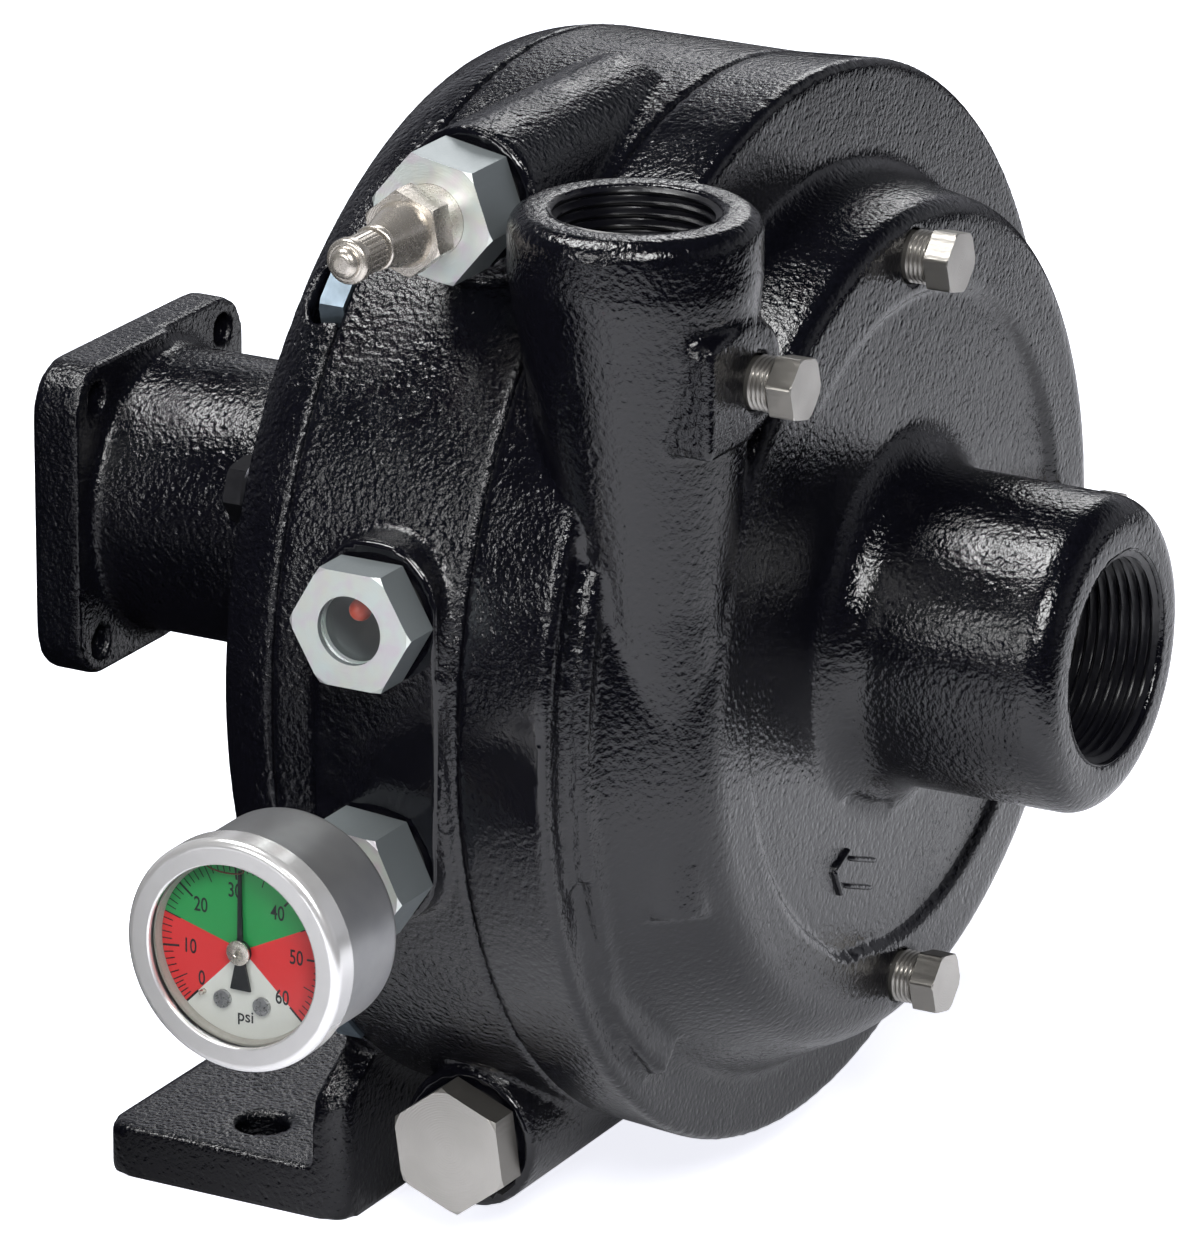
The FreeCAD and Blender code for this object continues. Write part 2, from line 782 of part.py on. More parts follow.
def make_frame_bolts():
    centre = (0, frame_bolt_circle)
    seat = ring_rear_y + frame_washer_thickness
    head = chamfered_hexagon(frame_bolt_flats, seat, seat + frame_bolt_head, "y", centre)
    shank = rod(frame_bolt_radius, seat, ring_front_y - frame_bolt_grip, "y", centre)
    return around(head.fuse(shank), frame_bolt_count, frame_bolt_angle)


def make_frame_bolt_washers():
    washer = tube(frame_washer_radius, frame_bolt_radius + 0.15, ring_rear_y,
                  ring_rear_y + frame_washer_thickness, "y", (0, frame_bolt_circle))
    return around(washer, frame_bolt_count, frame_bolt_angle)


def make_o_ring(circle, y):
    return [Part.makeTorus(circle, o_ring_section, V(0, y, 0), V(0, 1, 0))]


def make_casing_plugs():
    plugs = []
    places = [(x, z, face_y) for x, z in plug_places()]
    places.append((side_plug_x, side_plug_z, side_boss_front_y))
    for x, z, y in places:
        centre = (x, z)
        seat = y - plug_exposed_thread
        thread = rod(plug_radius, y + plug_depth - 0.5, seat, "y", centre)
        neck = rod(plug_radius * 0.9, seat, seat - 0.6, "y", centre)
        head = chamfered_hexagon(plug_flats, seat - 0.6, seat - plug_hex_length, "y", centre, 17.0)
        plugs.append(joined([thread, neck, head]))
    return plugs


# Fittings on the left side; each one stands out of its port towards -X
def seat_x(kind):
    return port_face(kind) + spot_face_depth


def make_washer(kind, z):
    start = seat_x(kind)
    return [tube(washer_radius, port_radius + 0.2, start, start - washer_thickness, "x", (port_line_y, z))]


def hex_fitting(kind, z, length, turn):
    centre = (port_line_y, z)
    start = seat_x(kind) - washer_thickness
    head = chamfered_hexagon(hex_flats, start, start - length, "x", centre, turn)
    thread = rod(port_radius, start, seat_x(kind) + port_depth - 1.0, "x", centre)
    return head.fuse(thread)


def make_drain_plug():
    return [hex_fitting("boss", -boss_z, drain_head_length, 22.0)]


def valve_adapter_face():
    return seat_x("boss") - washer_thickness - valve_adapter_length


def make_valve_adapter():
    centre = (port_line_y, boss_z)
    body = hex_fitting("boss", boss_z, valve_adapter_length, 10.0)
    face = valve_adapter_face()
    cuts = [rod(valve_thread_radius + thread_clearance, face - 1, face + valve_thread_depth, "x", centre)]
    cuts.append(rod(port_passage_radius, face, boss_x + port_depth + 2, "x", centre))
    return [body.cut(cuts)]


def valve_stations():
    face = valve_adapter_face()
    hex_start = face - valve_thread_exposed
    cone_start = hex_start - valve_hex_length
    collar = cone_start - valve_cone_length
    neck = collar - valve_collar_length
    tip = neck - valve_neck_length
    return face, hex_start, cone_start, collar, neck, tip


def make_valve_body():
    face, hex_start, cone_start, collar, neck, tip = valve_stations()
    centre = (port_line_y, boss_z)
    points = [(face + valve_thread_depth - 1, 0, 0), (face + valve_thread_depth - 1, valve_thread_radius, 0)]
    points += [(hex_start + 0.6, valve_thread_radius, 0), (hex_start + 0.6, valve_cone_radius, 0)]
    points += [(cone_start, valve_cone_radius, 1.0), (collar, valve_neck_radius + 0.8, 0)]
    points += [(collar, valve_collar_radius, 0.4), (neck, valve_collar_radius, 0.4)]
    points += [(neck, valve_neck_radius, 0), (tip, valve_neck_radius, 0.4), (tip, 0, 0)]
    body = turned(points, "x", centre)
    body = body.fuse(chamfered_hexagon(valve_flats, hex_start, cone_start, "x", centre, 20.0))
    return [body.cut(rod(valve_bore_radius, tip - 1, face + valve_thread_depth, "x", centre))]


def make_valve_core():
    face, hex_start, cone_start, collar, neck, tip = valve_stations()
    centre = (port_line_y, boss_z)
    pin = rod(valve_pin_radius, tip + 0.4, tip + valve_pin_length, "x", centre)
    disc = rod(valve_bore_radius - 0.3, tip + 6.0, tip + 10.0, "x", centre)
    return [pin.fuse(disc)]


def make_valve_gasket():
    tip = valve_stations()[5]
    radius = valve_neck_radius - 0.1
    return [rod(radius, tip - 0.1, tip - 0.1 - gasket_thickness, "x", (port_line_y, boss_z))]


def make_valve_cap():
    face, hex_start, cone_start, collar, neck, tip = valve_stations()
    centre = (port_line_y, boss_z)
    open_end = neck - cap_gap
    inside = tip - 0.1 - gasket_thickness - 0.1
    outside = inside - cap_wall
    rim = outside + cap_rim_length
    points = [(open_end, 0, 0), (open_end, cap_skirt_radius, 0.3), (rim, cap_skirt_radius, 0)]
    points += [(rim, cap_rim_radius, 0.5), (outside, cap_rim_radius, 0.9)]
    points += [(outside, cap_dome_radius, 0.3), (outside - cap_dome_height, cap_dome_radius, 1.5)]
    points += [(outside - cap_dome_height, 0, 0)]
    body = turned(points, "x", centre)
    bore = rod(valve_neck_radius + cap_thread_gap, open_end + 1, inside, "x", centre)
    cuts = [bore]
    for number in range(cap_knurls):
        angle = 2 * math.pi * number / cap_knurls
        reach = cap_skirt_radius + 0.12
        place = (centre[0] + reach * math.cos(angle), centre[1] + reach * math.sin(angle))
        cuts.append(rod(0.3, open_end + 1, rim, "x", place))
    return [body.cut(cuts)]


def sight_face():
    return seat_x("pad") - washer_thickness - sight_hex_length


def make_sight_body():
    centre = (port_line_y, sight_z)
    body = hex_fitting("pad", sight_z, sight_hex_length, 0.0)
    face = sight_face()
    lens_rear = face + sight_lip + sight_lens_thickness
    cuts = [rod(sight_bore_radius, face - 1, seat_x("pad") + port_depth + 1, "x", centre)]
    cuts.append(rod(sight_lens_radius + fit_gap, face + sight_lip, lens_rear, "x", centre))
    return [body.cut(cuts)]


def make_sight_lens():
    face = sight_face()
    start = face + sight_lip
    return [rod(sight_lens_radius, start, start + sight_lens_thickness, "x", (port_line_y, sight_z))]


def float_place():
    x = sight_face() + sight_lip + sight_lens_thickness + float_gap + float_radius
    return V(x, port_line_y + 0.6, sight_z + float_lift)


def make_sight_float():
    return [Part.makeSphere(float_radius, float_place())]


def make_sight_reflector():
    rear = seat_x("pad") + port_depth - 1.0
    disc = rod(sight_bore_radius - fit_gap, rear, rear - reflector_thickness, "x", (port_line_y, sight_z))
    hole = rod(1.5, rear + 1, rear - 2, "x", (port_line_y, sight_z - 3.0))
    return [disc.cut(hole)]


def gauge_stations():
    adapter_face = seat_x("pad") - washer_thickness - gauge_adapter_length
    hex_start = adapter_face - stem_gap
    case_rear = hex_start - stem_hex_length
    case_front = case_rear - case_depth
    bezel_front = case_front - bezel_wall - window_thickness
    dial_face = bezel_front + dial_recess
    return adapter_face, hex_start, case_rear, case_front, bezel_front, dial_face


def make_gauge_adapter():
    centre = (port_line_y, gauge_z)
    body = hex_fitting("pad", gauge_z, gauge_adapter_length, 4.0)
    face = gauge_stations()[0]
    cuts = [rod(stem_radius + thread_clearance, face - 1, face + stem_depth, "x", centre)]
    cuts.append(rod(port_passage_radius, face, seat_x("pad") + port_depth + 1, "x", centre))
    return [body.cut(cuts)]


def make_gauge_stem():
    face, hex_start, case_rear = gauge_stations()[:3]
    centre = (port_line_y, gauge_z)
    thread = rod(stem_radius, face + stem_depth - 0.5, hex_start, "x", centre)
    head = chamfered_hexagon(stem_flats, case_rear + 0.2, hex_start, "x", centre, 15.0)
    inner = block((case_rear - 6, port_line_y - 4, gauge_z - 4), (case_rear, port_line_y + 4, gauge_z + 4))
    collar = rod(stem_radius + 1, case_rear + 0.5, case_rear - case_wall, "x", centre)
    body = joined([thread, head, collar, inner])
    return [body.cut(rod(stem_bore_radius, face + stem_depth, case_rear - 4, "x", centre))]


def make_gauge_case():
    case_rear, case_front = gauge_stations()[2:4]
    centre = (port_line_y, gauge_z)
    points = [(case_rear, 0, 0), (case_rear, case_radius, case_rounding), (case_front, case_radius, 0)]
    points += [(case_front, case_radius - case_wall, 0)]
    points += [(case_rear - case_wall, case_radius - case_wall, case_rounding / 2)]
    points += [(case_rear - case_wall, 0, 0)]
    body = turned(points, "x", centre)
    return [body.cut(rod(stem_radius + 1 + fit_gap, case_rear + 1, case_rear - 5, "x", centre))]


def make_gauge_bezel():
    case_front, bezel_front = gauge_stations()[3:5]
    centre = (port_line_y, gauge_z)
    rear = bezel_front + bezel_depth
    points = [(rear, case_radius + fit_gap, 0), (rear, bezel_radius, 0.4)]
    points += [(bezel_front, bezel_radius, bezel_rounding), (bezel_front, bezel_window_radius, 0.4)]
    points += [(bezel_front + bezel_wall, bezel_window_radius, 0)]
    points += [(bezel_front + bezel_wall, case_radius + fit_gap, 0)]
    return [turned(points, "x", centre)]


def make_gauge_window():
    bezel_front = gauge_stations()[4]
    start = bezel_front + bezel_wall
    return [rod(window_radius, start, start + window_thickness, "x", (port_line_y, gauge_z))]


def make_gauge_dial():
    dial_face = gauge_stations()[5]
    centre = (port_line_y, gauge_z)
    disc = rod(dial_radius, dial_face, dial_face + dial_thickness, "x", centre)
    plate_start = gauge_stations()[2] - movement_setback
    posts = []
    for y in (-dial_screw_spread, dial_screw_spread):
        place = (port_line_y + y, gauge_z - dial_screw_drop)
        posts.append(rod(1.6, dial_face, gauge_stations()[2] - case_wall, "x", place))
    plate = rod(movement_radius, plate_start, plate_start - 1.5, "x", centre)
    hole = rod(spindle_radius + running_gap, dial_face - 1, plate_start - 1.6, "x", centre)
    return [joined([disc] + posts + [plate]).cut(hole)]


def make_dial_screws():
    dial_face = gauge_stations()[5]
    screws = []
    for y in (-dial_screw_spread, dial_screw_spread):
        place = (port_line_y + y, gauge_z - dial_screw_drop)
        head = rod(dial_screw_radius, dial_face, dial_face - 0.8, "x", place)
        slot_y, slot_z = place
        first = block((dial_face - 1, slot_y - 1.1, slot_z - 0.22), (dial_face - 0.4, slot_y + 1.1, slot_z + 0.22))
        second = block((dial_face - 1, slot_y - 0.22, slot_z - 1.1), (dial_face - 0.4, slot_y + 0.22, slot_z + 1.1))
        screws.append(head.cut([first, second]))
    return screws


def make_gauge_needle():
    dial_face = gauge_stations()[5]
    rear = dial_face - needle_gap
    front = rear - needle_thickness
    y, z = port_line_y, gauge_z
    tip = [(y - 0.55, z, 0), (y - 0.25, z + needle_length, 0), (y + 0.25, z + needle_length, 0)]
    tip += [(y + 0.55, z, 0)]
    tail = [(y - 0.5, z, 0), (y + 0.5, z, 0), (y + 2.1, z - needle_tail, 0), (y - 2.1, z - needle_tail, 0)]
    blade = extruded(tip, rear, front, "x")
    paddle = extruded(tail, rear, front, "x")
    hub = rod(needle_hub_radius, rear, front - needle_hub_rise, "x", (y, z))
    hole = rod(spindle_radius, rear + 1, front - needle_hub_rise / 2, "x", (y, z))
    return [joined([blade, paddle, hub]).cut(hole)]


def make_gauge_spindle():
    dial_face = gauge_stations()[5]
    plate_start = gauge_stations()[2] - movement_setback
    start = dial_face - needle_gap - needle_thickness - needle_hub_rise / 2
    centre = (port_line_y, gauge_z)
    gear = rod(2.4, dial_face + dial_thickness + 2.0, dial_face + dial_thickness + 4.0, "x", centre)
    return [rod(spindle_radius, start, plate_start - 1.7, "x", centre).fuse(gear)]


def make_bourdon_tube():
    case_rear = gauge_stations()[2]
    start = case_rear - 4.0
    end = start - bourdon_width
    ring = tube(bourdon_radius, bourdon_radius - bourdon_thickness, start, end, "x", (port_line_y, gauge_z))
    # the coil is open on one side and its lower end is soldered to the stem
    gap = block((end - 1, port_line_y - bourdon_radius - 1, gauge_z - bourdon_radius - 1),
                (start + 1, port_line_y - 1, gauge_z + 3))
    arm = block((start - bourdon_thickness, port_line_y - 1, gauge_z - bourdon_radius + 0.2),
                (start, port_line_y + 1.5, gauge_z - 4.0))
    return [ring.cut(gap).fuse(arm)]


# Shaft line
def make_shaft():
    nut_end_y = impeller_rear_y - impeller_hub_length - washer_disc_thickness - nut_length
    shoulder_y = front_bearing_y - shoulder_length
    points = [(nut_end_y + 1, 0, 0), (nut_end_y + 1, nut_thread_radius, 0.8)]
    points += [(impeller_rear_y - impeller_hub_length + 1, nut_thread_radius, 0)]
    points += [(impeller_rear_y - impeller_hub_length + 1, impeller_seat_radius, 0.4)]
    points += [(impeller_rear_y, impeller_seat_radius, 0), (impeller_rear_y, seal_shaft_radius, 0)]
    points += [(ring_rear_y - 3, seal_shaft_radius, 0), (ring_rear_y - 3, shaft_radius, 0)]
    points += [(shoulder_y, shaft_radius, 0), (shoulder_y, shoulder_radius, 0)]
    points += [(front_bearing_y, shoulder_radius, 0), (front_bearing_y, shaft_radius, 0)]
    groove_y = bearing_end_y + 0.2
    points += [(groove_y, shaft_radius, 0), (groove_y, shaft_radius - 0.8, 0)]
    points += [(groove_y + snap_ring_thickness, shaft_radius - 0.8, 0)]
    points += [(groove_y + snap_ring_thickness, shaft_radius, 0)]
    points += [(coupling_start_y - 0.2, shaft_radius, 0), (coupling_start_y - 0.2, drive_radius, 0)]
    points += [(shaft_end_y, drive_radius, 0.8), (shaft_end_y, 0, 0)]
    return [turned(points).cut([impeller_keyway(0.05), coupling_keyway(0.05)])]


def impeller_keyway(play):
    floor = impeller_seat_radius - key_height / 2
    end = impeller_rear_y - 2.0
    half = key_width / 2 + play
    return block((-half, end - key_length - play, floor - play), (half, end + play, floor + key_height + play))


def coupling_keyway(play):
    floor = drive_radius - key_height / 2
    half = key_width / 2 + play
    length = shaft_end_y - coupling_start_y - 2.0
    end = coupling_start_y + 1.0
    return block((-half, end - play, floor - play), (half, end + length + play, floor + key_height + play))


def vane(turn):
    front = impeller_rear_y - back_shroud - vane_width
    rear = impeller_rear_y - back_shroud
    start = eye_radius - 2
    steps = 12
    near = []
    far = []
    for number in range(steps + 1):
        share = number / steps
        radius = start + (impeller_radius - 0.6 - start) * share
        angle = math.radians(turn - 75.0 * share ** 0.9)
        wide = math.asin(vane_thickness / 2 / radius)
        near.append(V(radius * math.sin(angle - wide), front - 0.5, radius * math.cos(angle - wide)))
        far.append(V(radius * math.sin(angle + wide), front - 0.5, radius * math.cos(angle + wide)))
    side = Part.BSplineCurve()
    side.interpolate(near)
    other = Part.BSplineCurve()
    other.interpolate(far)
    edges = [side.toShape(), Part.makeLine(near[-1], far[-1]), other.toShape(), Part.makeLine(far[0], near[0])]
    return Part.Face(Part.Wire(Part.sortEdges(edges)[0])).extrude(V(0, rear - front + 1.0, 0))


def make_impeller():
    front_y = impeller_rear_y - impeller_hub_length
    hub = rod(impeller_hub_radius, impeller_rear_y, front_y)
    back = rod(impeller_radius, impeller_rear_y, impeller_rear_y - back_shroud)
    shroud_rear = impeller_rear_y - back_shroud - vane_width
    front = tube(impeller_radius, eye_radius, shroud_rear, shroud_rear - front_shroud)
    ring_front = inner_face_y - eye_ring_length + 1.5
    eye = tube(eye_radius + eye_ring_wall, eye_radius, shroud_rear, ring_front)
    vanes = [vane(360.0 / vane_count * number) for number in range(vane_count)]
    body = joined([hub, back, front, eye] + vanes)
    body = body.cut([rod(impeller_seat_radius + fit_gap, impeller_rear_y + 1, front_y - 1),
                     impeller_keyway(0.05)])
    return [body]


def make_impeller_washer():
    start = impeller_rear_y - impeller_hub_length
    return [tube(washer_disc_radius, nut_thread_radius + 0.15, start, start - washer_disc_thickness)]


def make_impeller_nut():
    start = impeller_rear_y - impeller_hub_length - washer_disc_thickness
    head = chamfered_hexagon(nut_flats, start, start - nut_length - 3, "y", (0, 0))
    return [head.cut(rod(nut_thread_radius + thread_clearance, start + 1, start - nut_length + 0.5))]


def make_wear_ring():
    inner = eye_radius + eye_ring_wall + wear_ring_gap
    rear = inner_face_y
    return [tube(inner + wear_ring_wall - fit_gap, inner, rear, rear - eye_ring_length)]


def make_seal_seat(start):
    return [tube(seat_radius, seat_bore_radius, start, start + seat_length)]


front_seat_y = seat_front_gap
front_ring_y = front_seat_y + seat_length
rear_seat_y = ring_front_y
rear_ring_y = rear_seat_y - seal_ring_length


def make_seal_ring(start, spring_side):
    ring = tube(seal_ring_radius, seal_shaft_radius + fit_gap, start, start + seal_ring_length)
    lip_start = start + seal_ring_length if spring_side > 0 else start
    step = tube(seal_ring_radius + 1, seal_ring_radius - seal_step_depth, lip_start,
                lip_start - spring_side * seal_step_length)
    return [ring.cut(step)]


def make_seal_bellows():
    # folded metal bellows that presses both rotating rings against their seats
    start = front_ring_y + seal_ring_length - seal_step_length
    end = rear_ring_y + seal_step_length
    outer = seal_ring_radius - 0.1
    pitch = (end - start) / (2 * bellows_folds)
    outside = []
    for number in range(2 * bellows_folds + 1):
        depth = 0.0 if number % 2 == 0 else bellows_depth
        outside.append((start + pitch * number, outer - depth, 0))
    inside = [(y, radius - bellows_sheet, 0) for y, radius, corner in reversed(outside)]
    return [turned(outside + inside)]


def bearing_starts():
    return [front_bearing_y, front_bearing_y + bearing_width + bearing_spacing]


pitch_radius = (bearing_bore + bearing_outer) / 2


def ball_groove(y):
    centre = V(0, y + bearing_width / 2, 0)
    return Part.makeTorus(pitch_radius, ball_radius + ball_gap, centre, V(0, 1, 0))


def make_bearing_outer_rings():
    rings = []
    for y in bearing_starts():
        ring = tube(bearing_outer, bearing_outer - ring_thickness, y, y + bearing_width)
        rings.append(ring.cut(ball_groove(y)))
    return rings


def make_bearing_inner_rings():
    rings = []
    for y in bearing_starts():
        ring = tube(bearing_bore + ring_thickness, bearing_bore + fit_gap, y, y + bearing_width)
        rings.append(ring.cut(ball_groove(y)))
    return rings


def make_bearing_balls():
    balls = []
    for y in bearing_starts():
        ball = Part.makeSphere(ball_radius, V(0, y + bearing_width / 2, pitch_radius))
        balls += around(ball, ball_count)
    return balls


def make_bearing_cages():
    cages = []
    for y in bearing_starts():
        low = y + (bearing_width - cage_width) / 2
        half = cage_thickness / 2
        cage = tube(pitch_radius + half, pitch_radius - half, low, low + cage_width)
        pocket = Part.makeSphere(ball_radius + ball_gap, V(0, y + bearing_width / 2, pitch_radius))
        cages.append(cage.cut(around(pocket, ball_count)))
    return cages


def make_bearing_spacer():
    start = front_bearing_y + bearing_width
    return [tube(bearing_outer - fit_gap, bearing_outer - 2.5, start, start + bearing_spacing)]


def make_housing_snap_ring():
    start = bearing_end_y + 0.25
    ring = tube(bearing_outer + snap_ring_bite - 0.2, bearing_outer - 2.2, start, start + snap_ring_thickness)
    gap = block((-5, start - 1, 10), (5, start + snap_ring_thickness + 1, 40))
    return [ring.cut(gap)]


def make_shaft_snap_ring():
    start = bearing_end_y + 0.25
    ring = tube(shaft_radius + 2.0, shaft_radius - 0.7, start, start + snap_ring_thickness - 0.1)
    gap = block((-3, start - 1, 0), (3, start + snap_ring_thickness + 1, 40))
    return [ring.cut(gap)]


def make_lip_seal():
    end = front_bearing_y - shoulder_length - 0.8
    points = [(end - lip_seal_length, lip_seal_radius, 0), (end, lip_seal_radius, 0)]
    points += [(end, lip_seal_radius - 1.5, 0), (end - 4.0, lip_seal_radius - 2.0, 0)]
    points += [(end - 2.0, shaft_radius + 1.2, 0), (end - 3.0, shaft_radius + running_gap, 0)]
    points += [(end - lip_seal_length, shaft_radius + 1.0, 0)]
    return [turned(points)]


def make_drive_coupling():
    end = coupling_start_y + coupling_length
    body = turned([(coupling_start_y, 0, 0), (coupling_start_y, coupling_radius, 1.0),
                   (end, coupling_radius, 1.0), (end, 0, 0)])
    cuts = [rod(drive_radius + fit_gap, coupling_start_y - 1, end + 1), coupling_keyway(0.05)]
    floor = drive_radius - key_height / 2
    half = key_width / 2 + 0.05
    cuts.append(block((-half, shaft_end_y, floor), (half, end + 1, floor + key_height + 0.05)))
    for y in set_screw_places():
        cuts.append(rod(set_screw_radius + thread_clearance, drive_radius - 1, coupling_radius + 1, "z", (0, y)))
    return [body.cut(cuts)]


def set_screw_places():
    return [coupling_start_y + 6.0, coupling_start_y + coupling_length - 6.0]


def make_coupling_set_screws():
    screws = []
    top = coupling_radius - 0.5
    starts = [drive_radius + key_height / 2 + 0.1, drive_radius + key_height / 2 + 0.1]
    for y, start in zip(set_screw_places(), starts):
        screw = rod(set_screw_radius, start, top, "z", (0, y))
        screws.append(screw.cut(hexagon(3.2, top - 1.6, top + 1, "z", (0, y))))
    return screws


nodes = {
    "rear_frame": lambda: [make_rear_frame()],
    "seal_housing": lambda: [make_seal_housing()],
    "volute_casing": lambda: [make_volute_casing()],
    "volute_o_ring": lambda: make_o_ring(o_ring_circle, -o_ring_section),
    "frame_o_ring": lambda: make_o_ring(chamber_radius + 1.0 + o_ring_section + o_ring_groove_play,
                                        housing_length - o_ring_section),
    "body_bolts": make_body_bolts,
    "frame_bolts": make_frame_bolts,
    "frame_bolt_washers": make_frame_bolt_washers,
    "casing_plugs": make_casing_plugs,
    "drain_plug": make_drain_plug,
    "drain_washer": lambda: make_washer("boss", -boss_z),
    "valve_adapter": make_valve_adapter,
    "valve_washer": lambda: make_washer("boss", boss_z),
    "valve_body": make_valve_body,
    "valve_core": make_valve_core,
    "valve_cap_gasket": make_valve_gasket,
    "valve_cap": make_valve_cap,
    "sight_body": make_sight_body,
    "sight_washer": lambda: make_washer("pad", sight_z),
    "sight_lens": make_sight_lens,
    "sight_float": make_sight_float,
    "sight_reflector": make_sight_reflector,
    "gauge_adapter": make_gauge_adapter,
    "gauge_washer": lambda: make_washer("pad", gauge_z),
    "gauge_stem": make_gauge_stem,
    "gauge_case": make_gauge_case,
    "gauge_bezel": make_gauge_bezel,
    "gauge_window": make_gauge_window,
    "gauge_dial": make_gauge_dial,
    "gauge_dial_screws": make_dial_screws,
    "gauge_needle": make_gauge_needle,
    "gauge_spindle": make_gauge_spindle,
    "gauge_bourdon_tube": make_bourdon_tube,
    "shaft": make_shaft,
    "impeller": make_impeller,
    "impeller_key": lambda: [impeller_keyway(0.0)],
    "impeller_washer": make_impeller_washer,
    "impeller_nut": make_impeller_nut,
    "wear_ring": make_wear_ring,
    "front_seal_seat": lambda: make_seal_seat(front_seat_y),
    "front_seal_ring": lambda: make_seal_ring(front_ring_y, 1),
    "seal_bellows": make_seal_bellows,
    "rear_seal_ring": lambda: make_seal_ring(rear_ring_y, -1),
    "rear_seal_seat": lambda: make_seal_seat(rear_seat_y),
    "lip_seal": make_lip_seal,
    "bearing_outer_rings": make_bearing_outer_rings,
    "bearing_inner_rings": make_bearing_inner_rings,
    "bearing_balls": make_bearing_balls,
    "bearing_cages": make_bearing_cages,
    "bearing_spacer": make_bearing_spacer,
    "housing_snap_ring": make_housing_snap_ring,
    "shaft_snap_ring": make_shaft_snap_ring,
    "drive_coupling": make_drive_coupling,
    "coupling_key": lambda: [coupling_keyway(0.0)],
    "coupling_set_screws": make_coupling_set_screws,
}

os.makedirs("parts", exist_ok=True)
for name, build in nodes.items():
    solids = []
    for piece in build():
        solids += piece.Solids
    shape = Part.makeCompound(solids) if len(solids) > 1 else solids[0]
    shape.translate(V(0, -foot_centre_y, shaft_height))
    shape.exportStep("parts/" + name + ".step")
    print(name, len(solids), shape.isValid(), round(shape.Volume / 1000, 3))
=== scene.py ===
import math

import bmesh
import bpy
import numpy as np
from mathutils import Matrix, Vector


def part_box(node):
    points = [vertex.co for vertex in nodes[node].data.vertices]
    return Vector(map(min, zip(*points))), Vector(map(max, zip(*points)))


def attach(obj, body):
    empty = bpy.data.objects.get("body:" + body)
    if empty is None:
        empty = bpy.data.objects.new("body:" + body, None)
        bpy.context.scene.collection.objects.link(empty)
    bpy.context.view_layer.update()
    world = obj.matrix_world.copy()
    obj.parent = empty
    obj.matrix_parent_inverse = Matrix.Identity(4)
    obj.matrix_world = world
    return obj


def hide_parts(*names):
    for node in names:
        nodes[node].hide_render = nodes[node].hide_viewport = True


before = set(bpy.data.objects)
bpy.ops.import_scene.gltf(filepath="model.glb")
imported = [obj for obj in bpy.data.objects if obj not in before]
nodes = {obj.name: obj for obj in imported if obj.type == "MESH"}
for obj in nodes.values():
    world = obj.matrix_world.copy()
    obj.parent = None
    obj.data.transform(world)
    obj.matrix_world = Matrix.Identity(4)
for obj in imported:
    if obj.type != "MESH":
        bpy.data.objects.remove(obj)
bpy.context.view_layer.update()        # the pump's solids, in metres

mm = 0.001  # the scene is in metres, and sizes below are in millimetres
print("frame loaded,", len(nodes), "nodes")


# Camera: the photograph's own view, found from the drum, ports and gauge

cameraSetup = {
    "azimuth": -61.505,  # degrees round the pump, 0 looks along +Y
    "elevation": 19.358,
    "roll": 0.345,
    "distance": 1612.0,
    "target": (-40.0, -63.18, 117.48),
    "focalPixels": 8529.5,
    "photoHeight": 1253.0,
    "sensor": 36.0,
}


def makeCamera(setup):
    azimuth = math.radians(setup["azimuth"])
    elevation = math.radians(setup["elevation"])
    roll = math.radians(setup["roll"])
    back = Vector((math.sin(azimuth) * math.cos(elevation), -math.cos(azimuth) * math.cos(elevation),
                   math.sin(elevation)))
    right = Vector((math.cos(azimuth), math.sin(azimuth), 0))
    up = back.cross(right)
    rolledRight = right * math.cos(roll) + up * math.sin(roll)
    rolledUp = up * math.cos(roll) - right * math.sin(roll)
    data = bpy.data.cameras.new("photoCamera")
    data.sensor_width = setup["sensor"]
    data.lens = setup["focalPixels"] * setup["sensor"] / setup["photoHeight"]
    data.clip_start = 0.05
    data.clip_end = 30
    camera = bpy.data.objects.new("photoCamera", data)
    place = Vector(setup["target"]) * mm + back * setup["distance"] * mm
    turn = Matrix((rolledRight, rolledUp, back)).transposed()
    camera.matrix_world = Matrix.Translation(place) @ turn.to_4x4()
    bpy.context.scene.collection.objects.link(camera)
    bpy.context.scene.camera = camera


makeCamera(cameraSetup)
bpy.context.scene.view_settings.view_transform = "Standard"
print("camera placed")


# Small tools for materials

def toLinear(hexColour):
    channels = [int(hexColour[start:start + 2], 16) / 255 for start in (1, 3, 5)]
    return [c / 12.92 if c <= 0.04045 else ((c + 0.055) / 1.055) ** 2.4 for c in channels] + [1.0]


def addNode(tree, kind, inputs=None, **settings):
    node = tree.nodes.new("ShaderNode" + kind)
    for key, value in settings.items():
        setattr(node, key, value)
    for key, value in (inputs or {}).items():
        if isinstance(value, bpy.types.NodeSocket):
            tree.links.new(value, node.inputs[key])
        else:
            node.inputs[key].default_value = value
    return node


def startMaterial(name, hexColour, roughness, metallic=0.0, **more):
    material = bpy.data.materials.new(name)
    material.use_nodes = True
    tree = material.node_tree
    shader = tree.nodes["Principled BSDF"]
    shader.inputs["Base Color"].default_value = toLinear(hexColour)
    shader.inputs["Roughness"].default_value = roughness
    shader.inputs["Metallic"].default_value = metallic
    for key, value in more.items():
        shader.inputs[key.replace("_", " ")].default_value = value
    return material, tree, shader


def objectPlace(tree):
    return addNode(tree, "TexCoord").outputs["Object"]


def noiseAt(tree, sizeMm, detail=2.0, place=None, roughness=0.5):
    inputs = {"Vector": place or objectPlace(tree), "Scale": 1 / (sizeMm * mm), "Detail": detail,
              "Roughness": roughness}
    return addNode(tree, "TexNoise", inputs).outputs["Fac"]


